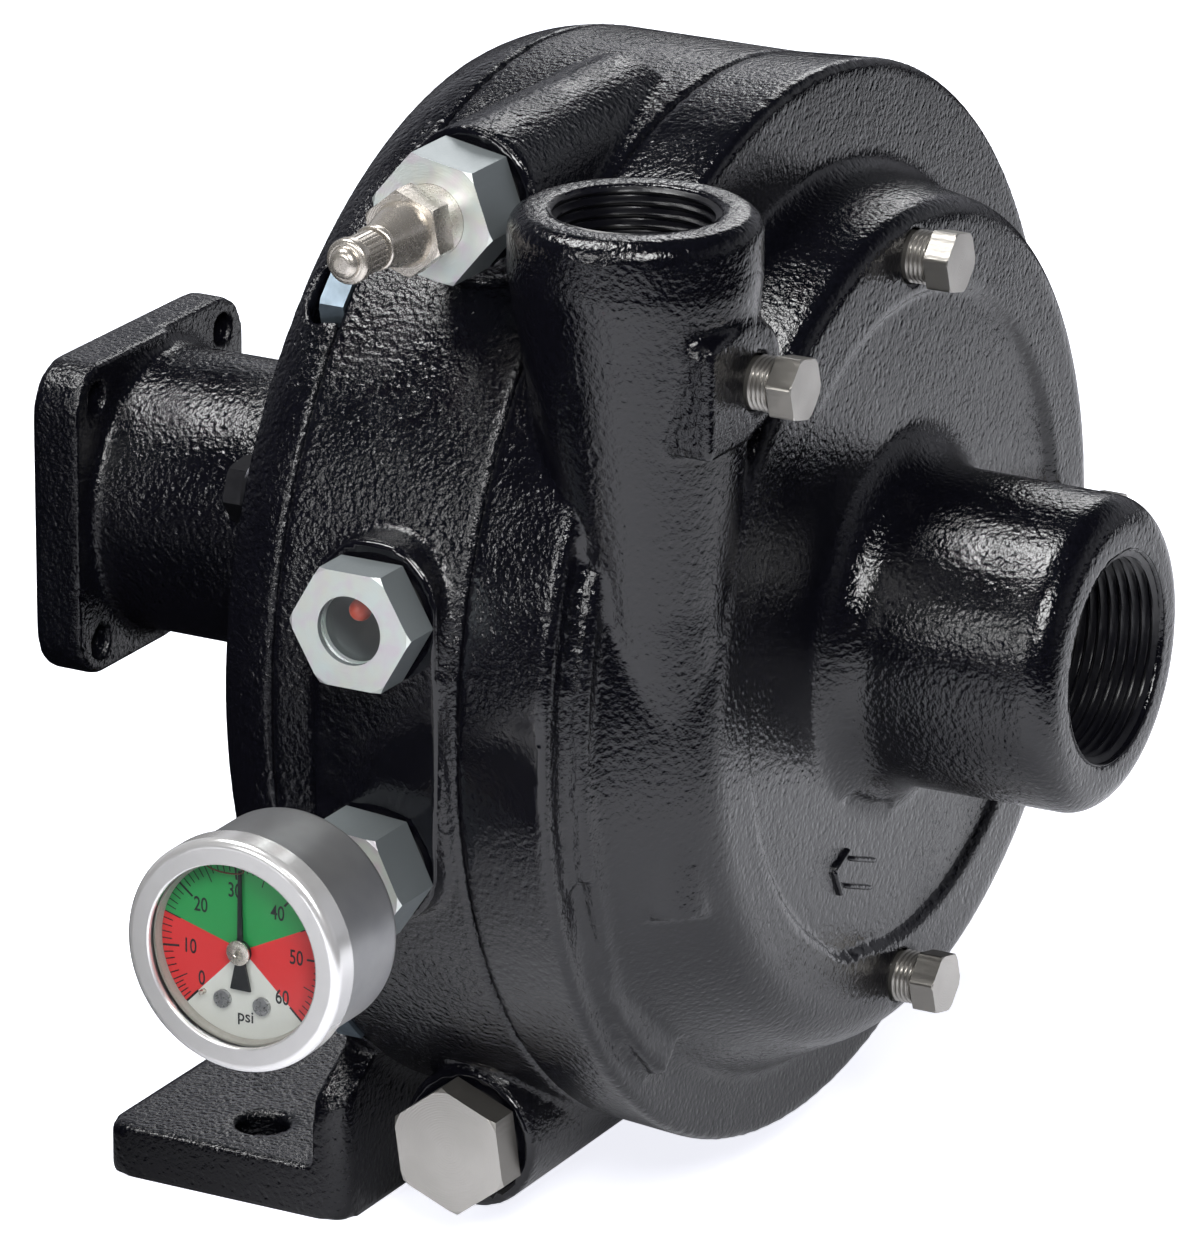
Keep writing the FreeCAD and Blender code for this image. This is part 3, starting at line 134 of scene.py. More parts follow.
def mathOf(tree, operation, first, second=None, third=None):
    inputs = {0: first}
    if second is not None:
        inputs[1] = second
    if third is not None:
        inputs[2] = third
    return addNode(tree, "Math", inputs, operation=operation).outputs[0]


def vectorOf(tree, operation, first, second=None):
    inputs = {0: first} if second is None else {0: first, 1: second}
    outputs = addNode(tree, "VectorMath", inputs, operation=operation).outputs
    return outputs["Value" if operation in ("DISTANCE", "LENGTH") else "Vector"]


noiseRange = (0.3, 0.7)  # where nearly all of a noise's values lie


def spread(tree, value, fromLow, fromHigh, toLow, toHigh):
    inputs = {"Value": value, "From Min": fromLow, "From Max": fromHigh, "To Min": toLow, "To Max": toHigh}
    return addNode(tree, "MapRange", inputs).outputs[0]


def mixColours(tree, share, firstHex, secondHex):
    node = addNode(tree, "Mix", {"Factor": share}, data_type="RGBA")
    for socket, colour in ((node.inputs[6], firstHex), (node.inputs[7], secondHex)):
        if isinstance(colour, bpy.types.NodeSocket):
            tree.links.new(colour, socket)
        else:
            socket.default_value = toLinear(colour)
    return node.outputs[2]


def bumpFrom(tree, height, depthMm, before=None):
    inputs = {"Height": height, "Distance": depthMm * mm, "Strength": 1.0}
    if before is not None:
        inputs["Normal"] = before
    return addNode(tree, "Bump", inputs).outputs["Normal"]


# Finishes

castEnamel = {
    "colour": "#07070b",
    "dustColour": "#0c0c12",
    "roughness": (0.06, 0.15),
    "peelSize": 0.95,  # mm from one hump of the orange peel to the next
    "pitSize": 1.6,  # mm between sand pits
    "peelDepth": 0.4,
    "pitDepth": 0.12,
    "pitRange": (0.08, 0.4),  # distances over which a pit's wall rises, as shares of its size
    "swellSize": 14.0,  # mm between patches of stronger and weaker peel
    "swellRange": (0.35, 0.65),
    "leastPeel": 0.55,
    "dustRange": (0.4, 0.7),
    "glossSize": 5.0,  # mm between patches of more and less gloss
    "milledShare": 0.12,  # the part of the relief that stays on milled faces
}


machinedReach = (0.35, 0.8)  # mm from a milled face: flat up to the first, cast from the second
machinedZones = [
    # faces that were milled before painting: axis, its value, a centre and a radius round it, all in mm
    ("X", -104.9, (-104.9, -52.0, 114.3), 60.0),
    ("X", -70.0, (-70.0, -51.6, 207.3), 16.0),
    ("X", -70.0, (-70.0, -51.6, 21.3), 16.0),
    ("Z", 0.0, (0.0, 0.0, 0.0), 120.0),
]


def machinedShare(tree, place, zones):
    # 1 on the milled faces and 0 on the cast skin
    parts = addNode(tree, "SeparateXYZ", {0: place})
    share = None
    for letter, value, centre, radius in zones:
        off = mathOf(tree, "ABSOLUTE", mathOf(tree, "SUBTRACT", parts.outputs[letter], value * mm))
        away = vectorOf(tree, "DISTANCE", place, Vector(centre) * mm)
        near = spread(tree, off, machinedReach[0] * mm, machinedReach[1] * mm, 1.0, 0.0)
        inside = mathOf(tree, "MULTIPLY", near, spread(tree, away, radius * mm, radius * mm + mm, 1.0, 0.0))
        share = inside if share is None else mathOf(tree, "MAXIMUM", share, inside)
    return share


def makeCastEnamel(name, setup, depthShare=1.0):
    # gloss black enamel sprayed on sand-cast iron: the sand's grain shows through as a pitted orange
    # peel, which breaks every reflection into sparkles. Milled faces under it stay flat
    material, tree, shader = startMaterial(name, setup["colour"], setup["roughness"][1])
    place = objectPlace(tree)
    rough = spread(tree, machinedShare(tree, place, machinedZones), 0.0, 1.0, depthShare,
                   setup["milledShare"] * depthShare)
    peel = noiseAt(tree, setup["peelSize"], 3.0, place, 0.55)
    cells = addNode(tree, "TexVoronoi", {"Vector": place, "Scale": 1 / (setup["pitSize"] * mm)},
                    feature="SMOOTH_F1")
    pits = spread(tree, cells.outputs["Distance"], *setup["pitRange"], 0.0, 1.0)
    swell = noiseAt(tree, setup["swellSize"], 1.0, place)
    roughGate = spread(tree, swell, *setup["swellRange"], setup["leastPeel"], 1.0)
    peelHeight = mathOf(tree, "MULTIPLY", peel, roughGate)
    first = bumpFrom(tree, mathOf(tree, "MULTIPLY", pits, rough), setup["pitDepth"])
    normal = bumpFrom(tree, mathOf(tree, "MULTIPLY", peelHeight, rough), setup["peelDepth"], before=first)
    tree.links.new(normal, shader.inputs["Normal"])
    gloss = spread(tree, noiseAt(tree, setup["glossSize"], 2.0, place), *noiseRange, *setup["roughness"])
    tree.links.new(gloss, shader.inputs["Roughness"])
    clean = spread(tree, peel, *setup["dustRange"], 0.0, 1.0)
    colour = mixColours(tree, clean, setup["dustColour"], setup["colour"])
    tree.links.new(colour, shader.inputs["Base Color"])
    return material


def turnedRings(tree, centre, axis, pitchMm, wobbleMm=2.5):
    # height of the fine rings that a lathe leaves round an axis through centre
    place = vectorOf(tree, "SUBTRACT", objectPlace(tree), centre)
    across = [0.0 if letter == axis else 1.0 for letter in "xyz"]
    radius = vectorOf(tree, "LENGTH", vectorOf(tree, "MULTIPLY", place, across))
    wobble = mathOf(tree, "MULTIPLY", noiseAt(tree, wobbleMm), pitchMm * mm)
    turns = mathOf(tree, "MULTIPLY", mathOf(tree, "ADD", radius, wobble), 2 * math.pi / (pitchMm * mm))
    return mathOf(tree, "SINE", turns)


bloomShape = {"patchShare": 0.6, "range": (0.45, 0.7)}
flatsRange = (0.6, 0.9)  # how square to the axis a face lies, from drawn to turned


def makeMetal(name, setup, centre=None, axis="x"):
    # a metal whose colour and gloss wander a little, with fine grain and, round a centre, lathe rings.
    # Where a flats colour is given, only the faces square to the axis were turned bright
    metallic = setup.get("metallic", 1.0)
    material, tree, shader = startMaterial(name, setup["colour"], setup["roughness"][0], metallic)
    place = objectPlace(tree)
    wide = noiseAt(tree, setup["patch"], 2.0, place)
    colour = mixColours(tree, spread(tree, wide, *noiseRange, 0.0, 1.0), setup["colour"], setup["tint"])
    if "bloom" in setup:
        spots = noiseAt(tree, setup["patch"] * bloomShape["patchShare"], 1.0, place)
        bloom = spread(tree, spots, *bloomShape["range"], 0.0, 1.0)
        colour = mixColours(tree, bloom, colour, setup["bloom"])
    if "flats" in setup and centre is not None:
        facing = addNode(tree, "SeparateXYZ", {0: addNode(tree, "NewGeometry").outputs["True Normal"]})
        square = mathOf(tree, "ABSOLUTE", facing.outputs[axis.upper()])
        colour = mixColours(tree, spread(tree, square, *flatsRange, 0.0, 1.0), setup["flats"], colour)
    tree.links.new(colour, shader.inputs["Base Color"])
    fine = noiseAt(tree, setup["grain"], 3.0, place)
    both = mathOf(tree, "ADD", mathOf(tree, "MULTIPLY", fine, 0.5), mathOf(tree, "MULTIPLY", wide, 0.5))
    gloss = spread(tree, both, *noiseRange, *setup["roughness"])
    tree.links.new(gloss, shader.inputs["Roughness"])
    normal = bumpFrom(tree, fine, setup["grainDepth"])
    if centre is not None and "ring" in setup:
        rings = turnedRings(tree, centre, axis, setup["ring"])
        normal = bumpFrom(tree, rings, setup["ringDepth"], before=normal)
    tree.links.new(normal, shader.inputs["Normal"])
    return material


zincPlate = {
    # bright zinc with a clear chromate: turned faces are pale with mint, straw and pink blooms, and the
    # flats keep the drawn bar's dull grey. The chromate film spreads part of the light
    "colour": "#e0ebe9", "tint": "#e3e5dd", "bloom": "#e2dde3", "flats": "#8d9496", "metallic": 0.65,
    "roughness": (0.34, 0.44), "patch": 6.0, "grain": 0.5, "grainDepth": 0.01,
    "ring": 0.55, "ringDepth": 0.004,
}
boltZinc = {
    # zinc plated bolts, bluish and a little dull
    "colour": "#7d8b96", "tint": "#6b7780", "metallic": 0.8, "roughness": (0.36, 0.48), "patch": 3.0,
    "grain": 0.5, "grainDepth": 0.012, "ring": 0.5, "ringDepth": 0.004,
}
stainlessBar = {
    # type 304 bar, drawn to its hexagon and faced on a lathe: warm grey with soft streaks
    "colour": "#bebbb6", "tint": "#b5b2ad", "flats": "#8b8883", "roughness": (0.28, 0.36), "patch": 9.0,
    "metallic": 0.85, "grain": 0.4, "grainDepth": 0.004, "ring": 0.5, "ringDepth": 0.009,
}
screwSteel = {
    # small steel screws, dark where the driver's recess catches no light
    "colour": "#a7a7a8", "tint": "#98989a", "metallic": 0.8, "roughness": (0.24, 0.34), "patch": 2.0,
    "grain": 0.4, "grainDepth": 0.004, "ring": 0.5, "ringDepth": 0.002,
}
nickelPlate = {
    # nickel on turned brass: a warm bright surface, softened by handling
    "colour": "#cfc9c1", "tint": "#c4bdb3", "metallic": 0.8, "roughness": (0.22, 0.32), "patch": 3.0,
    "grain": 0.5, "grainDepth": 0.004, "ring": 0.4, "ringDepth": 0.003,
}
bezelSteel = {
    # stainless ring spun over the case, its face brushed to an even satin
    "colour": "#ebeae9", "tint": "#e4e3e3", "metallic": 0.65, "roughness": (0.2, 0.26), "patch": 8.0,
    "grain": 0.6, "grainDepth": 0.002,
}
caseSteel = {
    # drawn stainless cup, brushed to a satin
    "colour": "#a6a6a7", "tint": "#9a9b9d", "metallic": 0.85, "roughness": (0.36, 0.44), "patch": 9.0,
    "grain": 0.5, "grainDepth": 0.005,
}
dishSteel = {
    # pressed steel dish behind the level glass, darkened by the fluid
    "colour": "#a89d8a", "tint": "#94897a", "metallic": 0.75, "roughness": (0.2, 0.3), "patch": 3.0,
    "grain": 0.5, "grainDepth": 0.004, "ring": 0.6, "ringDepth": 0.008,
}
groundSteel = {
    # bearing and shaft steel, ground and oiled
    "colour": "#a8a7a5", "tint": "#97979a", "roughness": (0.12, 0.24), "patch": 6.0,
    "grain": 0.5, "grainDepth": 0.004, "ring": 0.5, "ringDepth": 0.002,
}
rawIron = {
    # grey iron as cast and turned, a little oxidised
    "colour": "#6a6865", "tint": "#5a5753", "roughness": (0.38, 0.55), "patch": 7.0,
    "grain": 0.9, "grainDepth": 0.05, "ring": 0.7, "ringDepth": 0.004,
}
turnedBronze = {
    # bearing bronze, turned
    "colour": "#b08a54", "tint": "#9c7a4a", "roughness": (0.22, 0.36), "patch": 5.0,
    "grain": 0.6, "grainDepth": 0.01, "ring": 0.5, "ringDepth": 0.005,
}
stampedBrass = {
    # rolled brass, stamped and drawn
    "colour": "#c3a25e", "tint": "#ae8f52", "roughness": (0.18, 0.3), "patch": 5.0,
    "grain": 0.5, "grainDepth": 0.006, "ring": 0.5, "ringDepth": 0.003,
}
blackOxide = {
    # bolts with a black oxide skin and a film of oil
    "colour": "#3a3a3d", "tint": "#2c2c2f", "roughness": (0.28, 0.42), "patch": 3.0,
    "grain": 0.5, "grainDepth": 0.01, "ring": 0.5, "ringDepth": 0.004,
}


def makeDull(name, hexColour, tintHex, roughness, grainMm, depthMm, **more):
    # rubber, plastic, ink, carbon and fired ceramic: no metal, only a fine even grain
    material, tree, shader = startMaterial(name, hexColour, roughness, **more)
    fine = noiseAt(tree, grainMm, 3.0)
    tree.links.new(mixColours(tree, fine, hexColour, tintHex), shader.inputs["Base Color"])
    tree.links.new(bumpFrom(tree, fine, depthMm), shader.inputs["Normal"])
    gloss = spread(tree, fine, *noiseRange, roughness * 0.85, min(roughness * 1.15, 1.0))
    tree.links.new(gloss, shader.inputs["Roughness"])
    return material


sodaGlass = {
    "colour": "#ffffff", "shadowColour": "#f2f5f4", "index": 1.52,
    "smearSize": 7.0, "smearRange": (0.4, 0.8), "smear": (0.0, 0.03),  # roughness of clean and touched glass
}


def makeGlass(name, setup):
    # soda-lime glass, flat ground; lamps shine through it, so what lies behind stays lit
    material, tree, shader = startMaterial(name, setup["colour"], setup["smear"][0], IOR=setup["index"],
                                           Transmission_Weight=1.0)
    smear = spread(tree, noiseAt(tree, setup["smearSize"]), *setup["smearRange"], *setup["smear"])
    tree.links.new(smear, shader.inputs["Roughness"])
    clear = addNode(tree, "BsdfTransparent", {"Color": toLinear(setup["shadowColour"])}).outputs[0]
    rays = addNode(tree, "LightPath")
    lit = mathOf(tree, "MAXIMUM", rays.outputs["Is Shadow Ray"], rays.outputs["Is Diffuse Ray"])
    mixed = addNode(tree, "MixShader", {0: lit, 1: shader.outputs[0], 2: clear}).outputs[0]
    tree.links.new(mixed, tree.nodes["Material Output"].inputs["Surface"])
    return material


dialFace = {
    "green": "#2f9350", "red": "#d9383a", "white": "#d6d4cf",
    "greenMiddle": 5.0, "greenHalf": 69.0,  # degrees from the top, and each side of that
    "redMiddle": 1.2, "redHalf": 134.2,
    "printDepth": 0.1,  # mm: how far behind the face the print's colours still hold
    "grain": 0.8, "roughness": (0.36, 0.48),
}
windowLow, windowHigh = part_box("gauge_window")
dialCentre = (windowLow + windowHigh) / 2
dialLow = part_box("gauge_dial")[0]


def makeDialFace(setup):
    # enamelled aluminium dial, screen printed with the green and red bands
    material, tree, shader = startMaterial("printedDial", setup["white"], setup["roughness"][0])
    place = vectorOf(tree, "SUBTRACT", objectPlace(tree), dialCentre)
    parts = addNode(tree, "SeparateXYZ", {0: place})
    angle = mathOf(tree, "ARCTAN2", parts.outputs["Y"], parts.outputs["Z"])

    def within(middle, half):
        away = mathOf(tree, "ABSOLUTE", mathOf(tree, "SUBTRACT", angle, math.radians(middle)))
        return mathOf(tree, "LESS_THAN", away, math.radians(half))

    inGreen = within(setup["greenMiddle"], setup["greenHalf"])
    inRed = within(setup["redMiddle"], setup["redHalf"])
    printEnd = dialLow.x - dialCentre.x + setup["printDepth"] * mm
    onFace = mathOf(tree, "LESS_THAN", parts.outputs["X"], printEnd)
    outer = mixColours(tree, mathOf(tree, "MULTIPLY", inRed, onFace), setup["white"], setup["red"])
    colour = mixColours(tree, mathOf(tree, "MULTIPLY", inGreen, onFace), outer, setup["green"])
    tree.links.new(colour, shader.inputs["Base Color"])
    gloss = spread(tree, noiseAt(tree, setup["grain"]), *noiseRange, *setup["roughness"])
    tree.links.new(gloss, shader.inputs["Roughness"])
    return material


enamelMaterial = makeCastEnamel("castEnamel", castEnamel)
smoothEnamelMaterial = makeCastEnamel("castEnamelSmooth", castEnamel, 0.6)  # the casing's sand was finer
rubberMaterial = makeDull("nitrileRubber", "#141414", "#1f1f1f", 0.55, 0.5, 0.01)
ceramicMaterial = makeDull("aluminaCeramic", "#e4ddcf", "#d8d0c0", 0.25, 0.6, 0.004)
carbonMaterial = makeDull("sealCarbon", "#1c1c1e", "#2b2b2d", 0.35, 0.4, 0.006)
floatMaterial = makeDull("floatAcetal", "#e8573a", "#dc4a2f", 0.32, 1.2, 0.006)
inkMaterial = makeDull("printInk", "#17191c", "#222428", 0.5, 0.4, 0.003)
fluidMaterial = makeDull("dampingFluidEdge", "#7b5146", "#5f4038", 0.12, 0.6, 0.002)
ringMaterial = makeDull("anodisedRing", "#a7a29b", "#99948e", 0.4, 0.6, 0.004)
needleMaterial = makeDull("needleLacquer", "#15171a", "#1e2024", 0.42, 0.5, 0.003)
glassMaterial = makeGlass("gaugeGlass", sodaGlass)
dialMaterial = makeDialFace(dialFace)
plainMetals = {
    "nickel": makeMetal("nickelPlate", nickelPlate),
    "ground": makeMetal("groundSteel", groundSteel, Vector((0, 0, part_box("shaft")[0].z)), "y"),
    "iron": makeMetal("rawIron", rawIron),
    "bronze": makeMetal("turnedBronze", turnedBronze),
    "brass": makeMetal("stampedBrass", stampedBrass),
    "oxide": makeMetal("blackOxide", blackOxide),
    "zinc": makeMetal("zincBolt", boltZinc),
    "stainless": makeMetal("stainlessPlain", stainlessBar),
    "screw": makeMetal("screwSteel", screwSteel),
    "hub": makeMetal("hubNickel", nickelPlate),
}


def middleOf(node):
    low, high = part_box(node)
    return (low + high) / 2


finishes = {
    "volute_casing": smoothEnamelMaterial, "seal_housing": enamelMaterial, "rear_frame": enamelMaterial,
    "drain_plug": makeMetal("drainSteel", stainlessBar, middleOf("drain_plug")),
    "valve_adapter": makeMetal("adapterZinc", zincPlate, middleOf("valve_adapter")),
    "sight_body": makeMetal("sightZinc", zincPlate, middleOf("sight_body")),
    "gauge_adapter": makeMetal("gaugeZinc", zincPlate, middleOf("gauge_adapter")),
    "valve_body": makeMetal("valveNickel", nickelPlate, middleOf("valve_body")),
    "sight_reflector": makeMetal("reflectorSteel", dishSteel, middleOf("sight_reflector")),
    "gauge_case": makeMetal("caseSteel", caseSteel),
    "gauge_bezel": makeMetal("bezelSteel", bezelSteel),
    "gauge_dial": dialMaterial, "gauge_needle": needleMaterial, "sight_float": floatMaterial,
    "body_bolts": plainMetals["zinc"], "gauge_dial_screws": plainMetals["screw"],
    "impeller": plainMetals["iron"], "wear_ring": plainMetals["bronze"],
}
sharedFinishes = [
    (rubberMaterial, ["volute_o_ring", "frame_o_ring", "drain_washer", "valve_washer", "sight_washer",
                      "gauge_washer", "valve_cap_gasket", "lip_seal"]),
    (glassMaterial, ["sight_lens", "gauge_window"]),
    (ceramicMaterial, ["front_seal_seat", "rear_seal_seat"]),
    (carbonMaterial, ["front_seal_ring", "rear_seal_ring"]),
    (plainMetals["oxide"], ["frame_bolts", "frame_bolt_washers", "coupling_set_screws"]),
    (plainMetals["stainless"], ["casing_plugs", "impeller_washer", "impeller_nut", "seal_bellows"]),
    (plainMetals["nickel"], ["valve_cap", "gauge_stem"]),
    (plainMetals["brass"], ["valve_core", "gauge_spindle", "gauge_bourdon_tube", "bearing_cages"]),
    (plainMetals["ground"], ["shaft", "impeller_key", "bearing_outer_rings", "bearing_inner_rings",
                             "bearing_balls", "bearing_spacer", "housing_snap_ring", "shaft_snap_ring",
                             "drive_coupling", "coupling_key"]),
]
for sharedMaterial, nodeNames in sharedFinishes:
    finishes.update(dict.fromkeys(nodeNames, sharedMaterial))


def dressNodes():
    for name, node in nodes.items():
        for slotNumber in range(max(len(node.material_slots), 1)):
            if not node.material_slots:
                node.data.materials.append(finishes[name])
            node.material_slots[slotNumber].material = finishes[name]


dressNodes()
print("finishes on the nodes")


# Small tools for meshes

def addPiece(name, vertices, faces, material, body, smoothAngle=30.0):
    mesh = bpy.data.meshes.new(name)
    mesh.from_pydata([tuple(v) for v in vertices], [], faces)
    mesh.validate()
    shape = bmesh.new()
    shape.from_mesh(mesh)
    bmesh.ops.recalc_face_normals(shape, faces=shape.faces)
    sharpest = math.radians(smoothAngle)
    for face in shape.faces:
        face.smooth = True
    for edge in shape.edges:
        if len(edge.link_faces) == 2 and edge.calc_face_angle() > sharpest:
            edge.smooth = False
    shape.to_mesh(mesh)
    shape.free()
    mesh.materials.append(material)
    piece = bpy.data.objects.new(name, mesh)
    bpy.context.scene.collection.objects.link(piece)
    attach(piece, body)
    return piece


axisTurns = {
    "x": Matrix(((0, 0, 1), (1, 0, 0), (0, 1, 0))),
    "y": Matrix(((0, 1, 0), (0, 0, 1), (1, 0, 0))),
    "z": Matrix(((1, 0, 0), (0, 1, 0), (0, 0, 1))),
}


def lathed(stations, radiusAt, centre, axis, sides, closed=False):
    # rings round an axis: radiusAt gives the radius in mm for a station along the axis and an angle.
    # closed joins the last ring to the first, which makes a sleeve; otherwise both ends get a fan
    turn = axisTurns[axis]
    vertices = []
    faces = []
    for number, station in enumerate(stations):
        for side in range(sides):
            angle = 2 * math.pi * side / sides
            radius = radiusAt(number, station, angle)
            local = Vector((radius * math.cos(angle), radius * math.sin(angle), station))
            vertices.append(centre + turn @ local * mm)
    rings = len(stations)
    for ring in range(rings if closed else rings - 1):
        following = (ring + 1) % rings
        for side in range(sides):
            beside = (side + 1) % sides
            faces.append((ring * sides + side, ring * sides + beside, following * sides + beside,
                          following * sides + side))
    if not closed:
        for ring in (0, rings - 1):
            hub = len(vertices)
            vertices.append(centre + turn @ Vector((0, 0, stations[ring])) * mm)
            for side in range(sides):
                faces.append((ring * sides + side, ring * sides + (side + 1) % sides, hub))
    return vertices, faces


def turnedPiece(name, profile, seat, sides, material, body, closed=False):
    # a small part turned about the X axis from (station, radius) points in mm
    stations = [station for station, radius in profile]
    vertices, faces = lathed(stations, lambda number, station, angle: profile[number][1], seat, "x", sides,
                             closed)
    return addPiece(name, vertices, faces, material, body)


def threadWave(station, angle, pitch, steepness=1.3, rootFlat=0.15):
    # 0 at the root and 1 at the crest, with both cut flat
    turn = (station / pitch - angle / (2 * math.pi)) % 1.0
    return min(max(steepness * (1 - abs(2 * turn - 1)) - rootFlat, 0.0), 1.0)


# Skins of the three castings: the same shapes with the soft corners that sand casting leaves

castSkin = {
    "voxel": 1.0,
    "innerRadius": 3.0,  # tightest inside corner in mm: the mould's sand fills anything sharper
    "outerRadius": 1.1,  # tightest outside edge
    "seamRadius": 0.6,  # tightest edge at the machined joints between the castings
    "seams": (-68.0, -28.7),
    "seamReach": 2.5,
    "rounds": 40,
    "moveShare": 0.8,  # the part of each point's way that it goes in a round
    "smoothing": (0.5, -0.52, 0.5, -0.52),  # takes out the grid's ripple and keeps the size
    "triangles": 195000,
}
# the suction nose ends in a wide rounded lip: its plane, the shaft's height and the radius, in mm
noseLip = {"front": -152.3, "height": 114.3, "round": 6.0}
skinChanges = {
    "volute_casing": {"innerRadius": 2.2, "lip": noseLip},
    "seal_housing": {},
    "rear_frame": {"innerRadius": 4.0, "outerRadius": 2.8, "rounds": 80},
}


def neighbourMean(points, edges, counts):
    # average of the points that share an edge with each point
    ends = np.concatenate((edges[:, 0], edges[:, 1]))
    others = points[np.concatenate((edges[:, 1], edges[:, 0]))]
    sums = [np.bincount(ends, weights=others[:, axis], minlength=len(points)) for axis in range(3)]
    return np.stack(sums, axis=1) / counts[:, None]


def roundCorners(mesh, setup):
    # moves each point along its normal while the surface there bends more tightly than casting allows
    total = len(mesh.vertices)
    points = np.empty(total * 3)
    mesh.vertices.foreach_get("co", points)
    points = points.reshape(-1, 3)
    edges = np.empty(len(mesh.edges) * 2, dtype=np.int64)
    mesh.edges.foreach_get("vertices", edges)
    edges = edges.reshape(-1, 2)
    counts = np.maximum(np.bincount(edges.ravel(), minlength=total), 1)
    step = (setup["voxel"] * mm) ** 2 / 4
    innerLimit = step / (setup["innerRadius"] * mm)
    seamGap = np.min([np.abs(points[:, 1] - seam * mm) for seam in setup["seams"]], axis=0)
    outerRadius = np.where(seamGap < setup["seamReach"] * mm, setup["seamRadius"], setup["outerRadius"])
    outerLimit = step / (outerRadius * mm)
    normals = np.empty(total * 3)
    for turn in range(setup["rounds"]):
        mesh.vertex_normals.foreach_get("vector", normals)
        directions = normals.reshape(-1, 3)
        bend = ((neighbourMean(points, edges, counts) - points) * directions).sum(axis=1)
        move = np.maximum(bend - innerLimit, 0) + np.minimum(bend + outerLimit, 0)
        points = points + directions * move[:, None] * setup["moveShare"]
        mesh.vertices.foreach_set("co", points.ravel())
        mesh.update()
    for share in setup["smoothing"]:
        points = points + (neighbourMean(points, edges, counts) - points) * share
    mesh.vertices.foreach_set("co", points.ravel())
    mesh.update()


def roundLip(mesh, lip):
    # lays a fillet of a set radius over the outer edge of the suction nose
    size = lip["round"] * mm
    front = lip["front"] * mm
    height = lip["height"] * mm
    spots = []
    for vertex in mesh.vertices:
        if vertex.co.y < front + size:
            spots.append((vertex, math.hypot(vertex.co.x, vertex.co.z - height)))
    outer = max(radius for vertex, radius in spots)
    for vertex, radius in spots:
        across = radius - (outer - size)
        ahead = front + size - vertex.co.y
        reach = math.hypot(across, ahead)
        if across > 0 and reach > size:
            newRadius = outer - size + across * size / reach
            vertex.co.x *= newRadius / radius
            vertex.co.z = height + (vertex.co.z - height) * newRadius / radius
            vertex.co.y = front + size - ahead * size / reach
    mesh.update()


def evaluated(piece):
    return bpy.data.meshes.new_from_object(piece.evaluated_get(bpy.context.evaluated_depsgraph_get()))


flowArrow = {
    "tip": (-27.4, 72.4), "faceY": -106.9, "slope": -20.0,  # mm: x and z of the tip, the face it stands on
    "depth": 4.9, "half": 4.6, "lineStart": 6.0, "length": 18.1, "lineSide": 2.65, "offset": -0.35,
    "lineHalf": 0.55, "height": 0.95, "sink": 0.4,
    "steps": 14, "sides": 8, "endPower": 10, "roundPower": 0.7,  # a stroke's grid and how full it is
    "patch": 17.0, "patchMiddle": (8.5, -3.0), "patchDepth": 1.8,  # mm round the old arrow, from the tip
}


def clearArrowPatch(mesh, setup):
    # takes the blurred arrow out of the skin, so that the crisp one can stand there
    middle = Vector([tip + off for tip, off in zip(setup["tip"], setup["patchMiddle"])]) * mm
    for vertex in mesh.vertices:
        near = (Vector((vertex.co.x, vertex.co.z)) - middle).length < setup["patch"] * mm
        if near and (setup["faceY"] - setup["patchDepth"]) * mm < vertex.co.y < setup["faceY"] * mm:
            vertex.co.y = setup["faceY"] * mm
    mesh.update()


def makeCastSkin(name, node, material, setup):
    piece = bpy.data.objects.new(name, nodes[node].data.copy())
    bpy.context.scene.collection.objects.link(piece)
    grid = piece.modifiers.new("grid", "REMESH")
    grid.mode = "VOXEL"
    grid.voxel_size = setup["voxel"] * mm
    grid.use_smooth_shade = True
    mesh = evaluated(piece)
    piece.modifiers.clear()
    roundCorners(mesh, setup)
    if "lip" in setup:
        roundLip(mesh, setup["lip"])
        clearArrowPatch(mesh, flowArrow)
    piece.data = mesh
    thin = piece.modifiers.new("thin", "DECIMATE")
    thin.ratio = min(1.0, setup["triangles"] / (2 * len(mesh.polygons)))
    piece.data = evaluated(piece)
    piece.modifiers.clear()
    piece.data.name = name
    piece.data.materials.clear()
    piece.data.materials.append(material)
    piece.data.shade_smooth()
    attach(piece, "pump_body")
    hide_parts(node)
    print(name, len(piece.data.polygons), "faces")


for castNode, skinName in (("volute_casing", "volute_skin"), ("seal_housing", "housing_skin"),
                           ("rear_frame", "frame_skin")):
    makeCastSkin(skinName, castNode, finishes[castNode], dict(castSkin, **skinChanges[castNode]))


